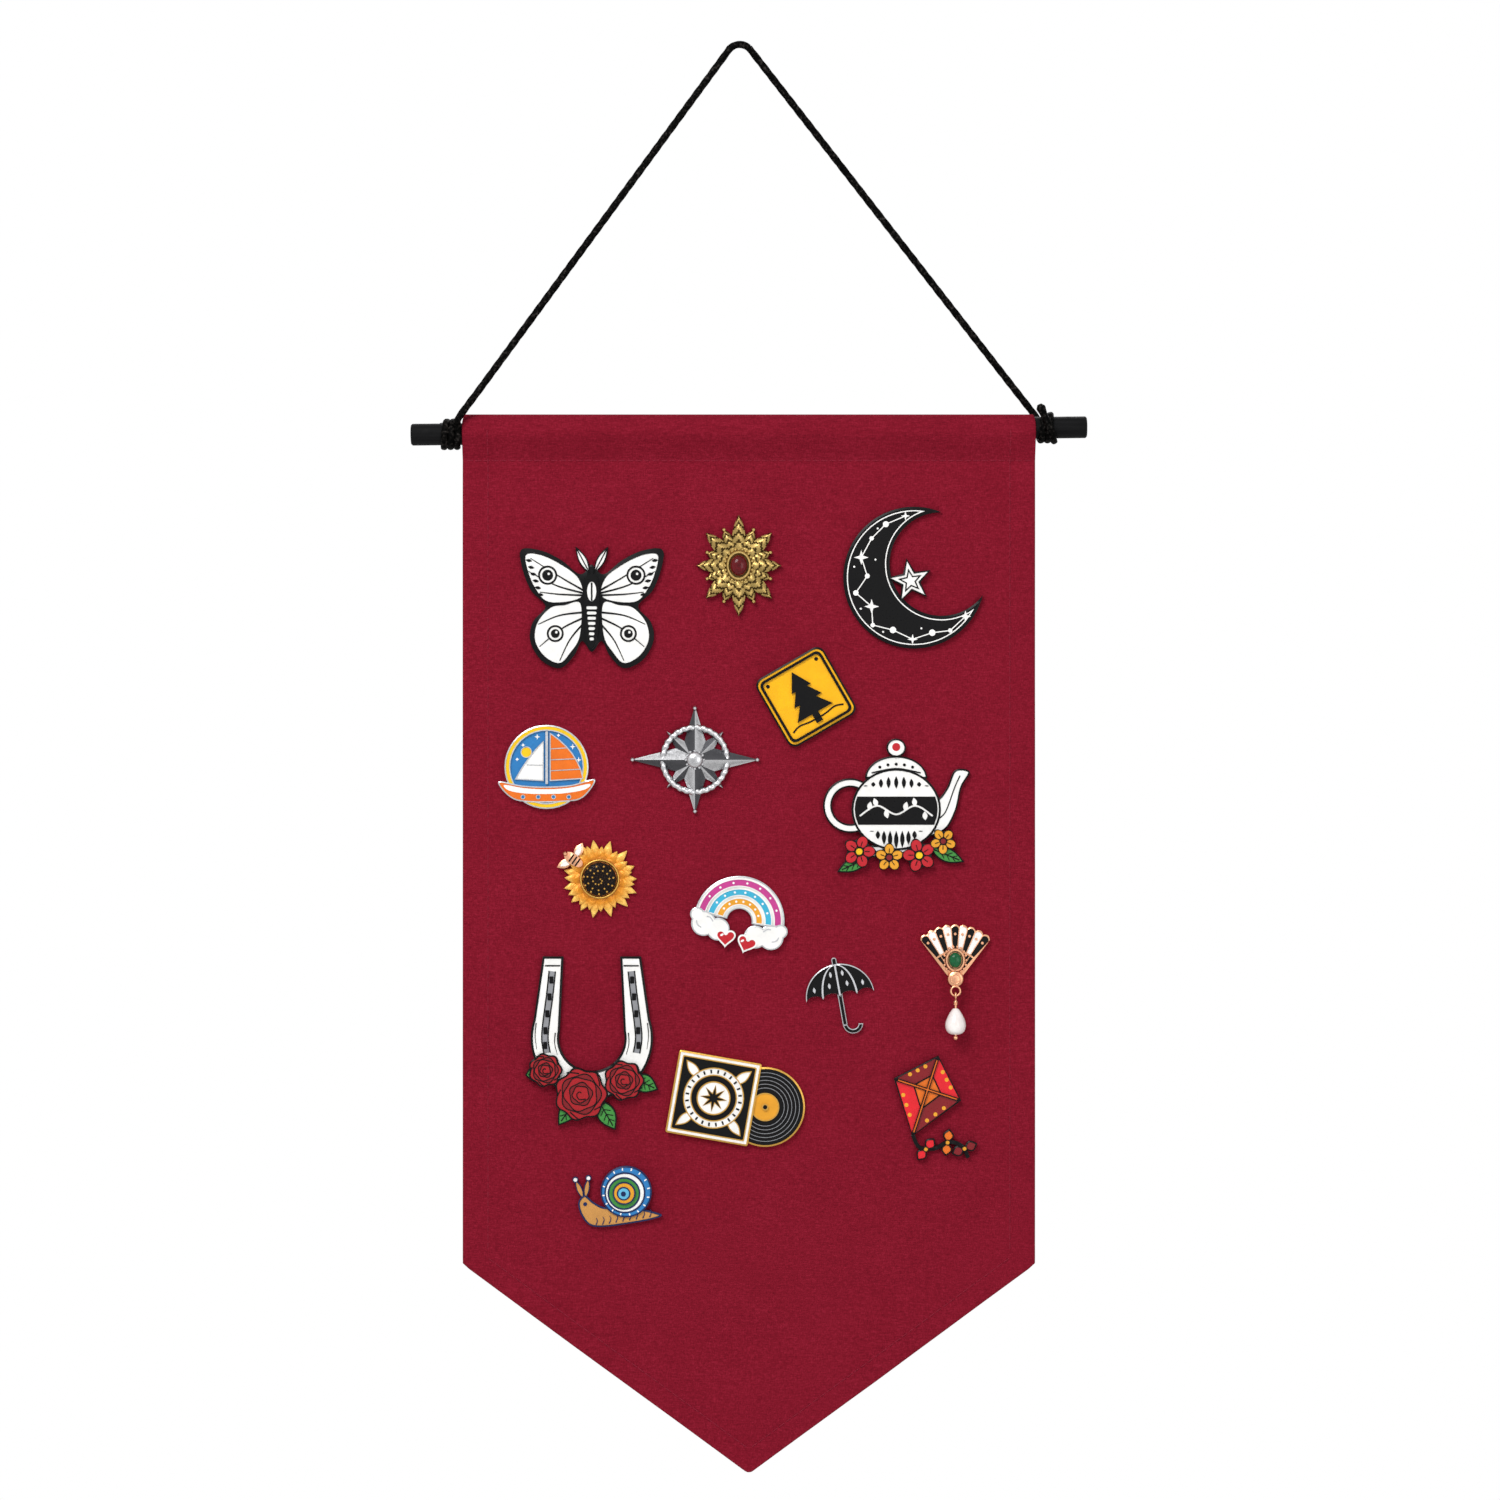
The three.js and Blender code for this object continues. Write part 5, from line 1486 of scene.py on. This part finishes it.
def record(pile):
    disc, sleeve, groove = 9.8, -9.4, 14
    pile.metal(PLATE, "gold", oval(disc, 0, 14.6, sides=72))
    pile.paint(PLATE, "black", oval(disc, 0, groove, sides=72))
    for k in range(5):
        pile.metal(PLATE - 0.1, "grey", oval(disc, 0, groove - 1.3 - 1.4 * k, sides=72))
        pile.paint(PLATE, "black", oval(disc, 0, groove - 1.5 - 1.4 * k, sides=72))
    pile.cell(PLATE, "amber", oval(disc, 0, 5.2), "gold", 0.4)
    pile.cell(RELIEF, "black", dot(disc, 0, 1.2, 20), "gold", 0.4)
    pile.cell(RELIEF, "white", rounded_box(sleeve, 0, 30.6, 30.6, 0.8), "gold", 0.6)
    pile.metal(RELIEF, "gold", rounded_box(sleeve, 0, 27.4, 27.4, 0.5))
    pile.paint(RELIEF, "black", rounded_box(sleeve, 0, 26.6, 26.6, 0.5))
    for lean in (45, 135, 225, 315):
        stem = polar(sleeve, 0, 8.2, radians(lean))
        pile.cell(RELIEF, "white", leaf(*stem, lean, 9, 3.6), "gold", 0.35)
    for radius, look in ((11.2, "white"), (8.6, "black")):
        pile.metal(RELIEF, "gold", oval(sleeve, 0, radius))
        pile.paint(RELIEF, look, oval(sleeve, 0, radius - 0.4))
    for angle in spread(24):
        pile.metal(RELIEF, "black", stroke([polar(sleeve, 0, r, angle) for r in (9.1, 10.4)], 0.6))
    pile.cell(HIGH_RELIEF, "white", oval(sleeve, 0, 6.2), "gold", 0.45)
    pile.cell(HIGH_RELIEF, "black", star(sleeve, 0, 5, 2, 8, 90), "gold", 0.3)


def kite(pile):
    top, right, foot, left, middle = (0, 18), (13, 5), (0, -13), (-13, 5), (0, 5)
    tail = [(0, -12.4), (3.6, -16), (9, -15), (13.2, -11), (18.4, -10.8), (22, -14.2)]
    pile.metal(PLATE, "black", stroke(tail, 1.4))
    pile.metal(RELIEF, "black", [top, left, foot, right])
    for corners, look in (
        ([top, middle, right], "scarlet"), ([top, left, middle], "dark_red"),
        ([left, foot, middle], "scarlet"), ([foot, right, middle], "dark_red"),
    ):
        pile.paint(RELIEF, look, inset(corners, 0.7))
    pile.cell(RELIEF, "orange", [(0, 11), (-5.6, 5), (0, -3), (5.6, 5)], line=0.5)
    for a, b in ((top, right), (top, left), (left, foot), (foot, right)):
        for t in (0.3, 0.5, 0.7):
            spot = Vector(a).lerp(Vector(b), t).lerp(Vector(middle), 0.14)
            pile.paint(RELIEF, "amber", dot(*spot, 0.75))
    pile.metal(HIGH_RELIEF, "black", stroke([(0, 17), (0, -12)], 1.2), stroke([(-12, 5), (12, 5)], 1.2))
    inlays = [(0, 16.4), (0, -11.4)], [(-11.4, 5), (11.4, 5)]
    pile.paint(HIGH_RELIEF, "orange", *(stroke(inlay, 0.5) for inlay in inlays))
    bows = ((6.2, -16, 70, "scarlet"), (13, -11.2, 100, "orange"), (19.6, -11.4, 40, "dark_red"))
    for u, v, lean, look in bows:
        for turn in (0, 180):
            pile.cell(RELIEF, look, leaf(u, v, lean + turn, 5, 4), line=0.5)
        pile.cell(RELIEF, "amber", dot(u, v, 1.1), line=0.35)


def snail(pile):
    foot = drawn([
        (-11.8, 2.6), (-14.6, 0.4), (-14.2, -4.4), (-11.6, -8.6), (-6, -10), (4, -10.2), (11, -10),
        (15, -9), (10, -6.4), (3, -4), (-5, -3), (-9, -0.4),
    ])
    for u, lean in ((-12.4, 104), (-12, 72)):
        pile.cell(PLATE, "tan", leaf(u, 1, lean, 8.4, 2.2), "navy", 0.35)
        pile.cell(PLATE, "white", dot(*polar(u, 1, 8, radians(lean)), 1.1, 18), "navy", 0.35)
    pile.cell(PLATE, "tan", foot, "navy")
    for k in range(9):
        u = -9.6 + 2.5 * k
        pile.metal(PLATE, "navy", stroke([(u, -9), (u + 0.9, -7.4), (u + 0.6, -6.2)], 0.4, 0.4))
    pile.metal(PLATE, "navy", dot(-12.2, -0.6, 0.7))
    for u, v, r, look in ((3.4, 1.6, 9.4, "blue"), (2.9, 1.3, 7.5, "white"), (2.5, 1.1, 6, "green")):
        pile.cell(RELIEF, look, oval(u, v, r, sides=56), "navy", 0.55)
    for angle in spread(16):
        ray = [polar(3.3, 1.5, 7.9, angle), polar(3.4, 1.6, 8.8, angle)]
        pile.metal(RELIEF, "white", stroke(ray, 0.45))
    pile.cell(HIGH_RELIEF, "amber", oval(2.6, 1.2, 4.2), "navy", 0.5)
    pile.cell(HIGH_RELIEF, "sky", dot(2.4, 1.1, 2.5, 30), "navy", 0.45)
    pile.metal(HIGH_RELIEF, "navy", dot(2.3, 1, 0.9, 20))


DESIGNS = (
    moth, leaf_burst, crescent, sign, boat, compass, teapot, sunflower, rainbow, umbrella, fan,
    horseshoe, record, kite, snail,
)


def placer(name, level=0):
    """Carries a point from a badge's own plane to its place on the cloth."""
    across, down, turn, _ = BADGES[name]

    def place(p):
        x, z = placed([p.xy], HANG_OFFSET + across, BANNER_TOP - down, -turn)[0]
        return Vector((x, BADGE_BACK - level - p.z, z))

    return place


def clutch_profile():
    """A rubber clutch round its bore, from the cloth outward."""
    top = CLUTCH_HEIGHT
    waist = CAP_RADIUS - 0.5
    return [
        (BORE_RADIUS, 0.4), (BORE_RADIUS + 0.3, 0.05), (FLANGE_RADIUS - 0.4, 0), (FLANGE_RADIUS, 0.35),
        (FLANGE_RADIUS, 0.9), (FLANGE_RADIUS - 0.35, 1.25), (CAP_RADIUS + 0.5, 1.5), (waist + 0.1, 2.2),
        (waist, 3.2), (waist + 0.2, 4), (CAP_RADIUS, 4.8), (CAP_RADIUS, 5.8), (CAP_RADIUS - 0.25, 6.8),
        (CAP_RADIUS - 0.8, 7.35), (CAP_RADIUS - 1.4, top), (0.5, top), (0.1, top - 0.05),
    ]


def make_clutch(name, foot):
    pile = Pile()
    pile.turned(clutch_profile(), "rubber", sides=32)
    node = f"clutch_{name}"
    pile.made(f"rubber_{name}", node, lambda p: Vector((foot.x - p.x, CLUTCH_FRONT + p.z, foot.z + p.y)),
              replaces=(node,), slot="clutch")


def make_badges():
    post = [
        (0.05, -POST_LENGTH), (POST_RADIUS * 0.5, -POST_LENGTH + 0.6),
        (POST_RADIUS, -POST_LENGTH + POST_POINT), (POST_RADIUS, -0.4),
        (POST_FOOT, -0.12), (POST_FOOT, 0.02),
    ]
    for design in DESIGNS:
        name = design.__name__
        node = f"badge_{name}"
        posts = BADGES[name][3]
        place = placer(name)
        pile = Pile()
        design(pile)
        if pile.layers:
            pile.strike()
        for at in posts:
            pile.turned(post, "steel", at, sides=16)
        pile.made(f"pin_{name}", node, place, replaces=(node,), slot=node)
        for letter, at in zip("ab", posts):
            make_clutch(f"{name}_{letter}", place(Vector((*at, 0))))


make_badges()


# Stones, seed disc and drop
def dome(radius, height):
    steps = 10
    profile = [(radius - 0.15, 0), (radius, 0.15)]
    for k in range(1, steps):
        angle = pi / 2 * k / steps
        profile.append((radius * cos(angle) ** 0.8, height * (0.12 + 0.88 * sin(angle))))
    return profile + [(0.05, height)]


def make_stones():
    level = RELIEF + STONE_GAP
    for node, size, badge, at in (
        ("red_stone", RED_STONE, "leaf_burst", (0, 0)), ("green_stone", GREEN_STONE, "fan", FAN_STONE),
    ):
        pile = Pile()
        pile.turned(dome(*size), node, at, STONE_STRETCH)
        pile.made(f"{node}_cut", f"badge_{badge}", placer(badge, level), replaces=(node,), slot=node)
    pile = Pile()
    pile.turned(dome(SEED_RADIUS - 0.3, SEED_HEIGHT - 0.5), "seed", sides=40)
    golden = pi * (3 - sqrt(5))
    for k in range(SEEDS):
        share = sqrt((k + 0.5) / SEEDS)
        spot = polar(0, 0, (SEED_RADIUS - 0.45) * share, k * golden)
        height = (SEED_HEIGHT - 0.55) * (0.12 + 0.88 * sqrt(max(0, 1 - share ** 2.4)))
        pile.bead((*spot, height), 0.36 + 0.1 * share, "black" if k % 5 else "gold", 8)
    pile.made("seed_beads", "badge_sunflower", placer("sunflower", level), replaces=("seed_disc",),
              slot="seed_disc")


def make_drop():
    hook_up = EYE_CENTRE[1] - EYE_RADIUS
    hook_end = hook_up - HOOK_RADIUS
    pearl_top = hook_end - WIRE_RADIUS - PEARL_DROP
    pearl_end = pearl_top - PEARL_LENGTH
    bottom = pearl_end - STONE_GAP - DROP_TAIL
    place = placer("fan", EYE_LEVEL)
    wire = Pile()
    wire.hoop((0, hook_up, 0), HOOK_RADIUS, WIRE_RADIUS, "rose_gold", ((0, 0, 1), (0, 1, 0)))
    wire.tube([(0, hook_end, 0), (0, pearl_top, 0), (0, bottom, 0)], WIRE_RADIUS, "rose_gold")
    coil = [
        (COIL_RADIUS * cos(k * 0.5), hook_end - 0.9 - k * 0.025, COIL_RADIUS * sin(k * 0.5))
        for k in range(50)
    ]
    wire.tube(coil, WIRE_RADIUS * 0.6, "rose_gold", 8)
    wire.bead((0, bottom, 0), DROP_TAIL, "rose_gold", 16)
    wire.made("drop_hook", "pearl_drop", place, replaces=("drop_wire",), slot="drop_wire")
    outline = [  # shares of the half width and of the length, from the lower end
        (0.2, 0), (0.42, 0.012), (0.68, 0.06), (0.85, 0.13), (0.95, 0.22), (1, 0.34), (0.97, 0.46),
        (0.87, 0.59), (0.72, 0.72), (0.56, 0.83), (0.42, 0.91), (0.3, 0.97), (0.2, 1),
    ]
    pearl = Pile()
    rings = []
    for r, t in outline:
        reach = r * PEARL_WIDTH / 2
        rings.append([(reach * cos(a), pearl_end + t * PEARL_LENGTH, -reach * sin(a)) for a in spread(40)])
    pearl.loft(rings, "pearl")
    pearl.made("pearl_bead", "pearl_drop", place, replaces=("pearl",), slot="pearl")


make_stones()
make_drop()

# Floor, light and background, in metres
FLOOR_LEVEL = -0.9
FLOOR_HALF = 1.2
FLOOR_GLOW = 0.7  # share of plain white in what the camera sees of the floor's middle
FLOOR_FADE = {"From Min": 0.2, "From Max": FLOOR_HALF * 0.95, "To Min": FLOOR_GLOW, "To Max": 1}
AMBIENT = 0.42
LAMPS = {  # name: place, size, watts
    "key": ((-0.57, -1.27, 0.77), 0.8, 20),
    "fill": ((0.8, -1.4, -0.2), 0.9, 5),
    "behind": ((0.2, 1.2, 0.5), 1, 10),
}
LAMP_AIM = Vector((0, 0, -0.28))


def make_floor():
    mesh = bpy.data.meshes.new("floor")
    corners = [(-1, -1), (1, -1), (1, 1), (-1, 1)]
    mesh.from_pydata([(x * FLOOR_HALF, y * FLOOR_HALF, 0) for x, y in corners], [], [(0, 1, 2, 3)])
    look = Look("floor")
    look.tone(look.noise(0.05), linear(0xF4F4F3), linear(0xF8F8F7))
    look.set(Roughness=0.9)
    reach = look.node("ShaderNodeVectorMath", operation="LENGTH")
    look.link(look.place, reach.inputs[0])
    fade = look.node("ShaderNodeMapRange", interpolation_type="SMOOTHSTEP")
    for socket, value in FLOOR_FADE.items():
        fade.inputs[socket].default_value = value
    look.link(reach.outputs["Value"], fade.inputs["Value"])
    rays = look.node("ShaderNodeLightPath").outputs["Is Camera Ray"]
    mix = look.node("ShaderNodeMixShader")
    look.link(look.math("MULTIPLY", rays, fade.outputs["Result"]), mix.inputs["Fac"])
    look.link(look.shader.outputs[0], mix.inputs[1])
    look.link(look.node("ShaderNodeEmission").outputs[0], mix.inputs[2])
    look.link(mix.outputs[0], look.tree.nodes["Material Output"].inputs["Surface"])
    mesh.materials.append(look.material)
    floor = bpy.data.objects.new("floor", mesh)
    floor.location = (0, 0, FLOOR_LEVEL)
    bpy.context.collection.objects.link(floor)


def make_world():
    """Even light, and plain white where the camera, metal or glass sees past the object."""
    world = bpy.data.worlds.new("studio")
    bpy.context.scene.world = world
    world.use_nodes = True
    nodes, links = world.node_tree.nodes, world.node_tree.links
    nodes.clear()
    rays = nodes.new("ShaderNodeLightPath")
    seen = rays.outputs["Is Camera Ray"]
    for ray in ("Is Transmission Ray", "Is Glossy Ray"):
        either = nodes.new("ShaderNodeMath")
        either.operation = "MAXIMUM"
        links.new(seen, either.inputs[0])
        links.new(rays.outputs[ray], either.inputs[1])
        seen = either.outputs[0]
    mix = nodes.new("ShaderNodeMixShader")
    links.new(seen, mix.inputs["Fac"])
    for socket, strength in ((1, AMBIENT), (2, 1)):
        glow = nodes.new("ShaderNodeBackground")
        glow.inputs["Color"].default_value = (1, 1, 1, 1)
        glow.inputs["Strength"].default_value = strength
        links.new(glow.outputs[0], mix.inputs[socket])
    links.new(mix.outputs[0], nodes.new("ShaderNodeOutputWorld").inputs["Surface"])


def make_lamps():
    for name, (place, size, power) in LAMPS.items():
        data = bpy.data.lights.new(name, "AREA")
        data.size = size
        data.energy = power
        lamp = bpy.data.objects.new(name, data)
        lamp.location = place
        lamp.rotation_euler = (LAMP_AIM - Vector(place)).to_track_quat("-Z", "Y").to_euler()
        bpy.context.collection.objects.link(lamp)


make_floor()
make_world()
make_lamps()
bpy.context.scene.view_settings.view_transform = "Standard"
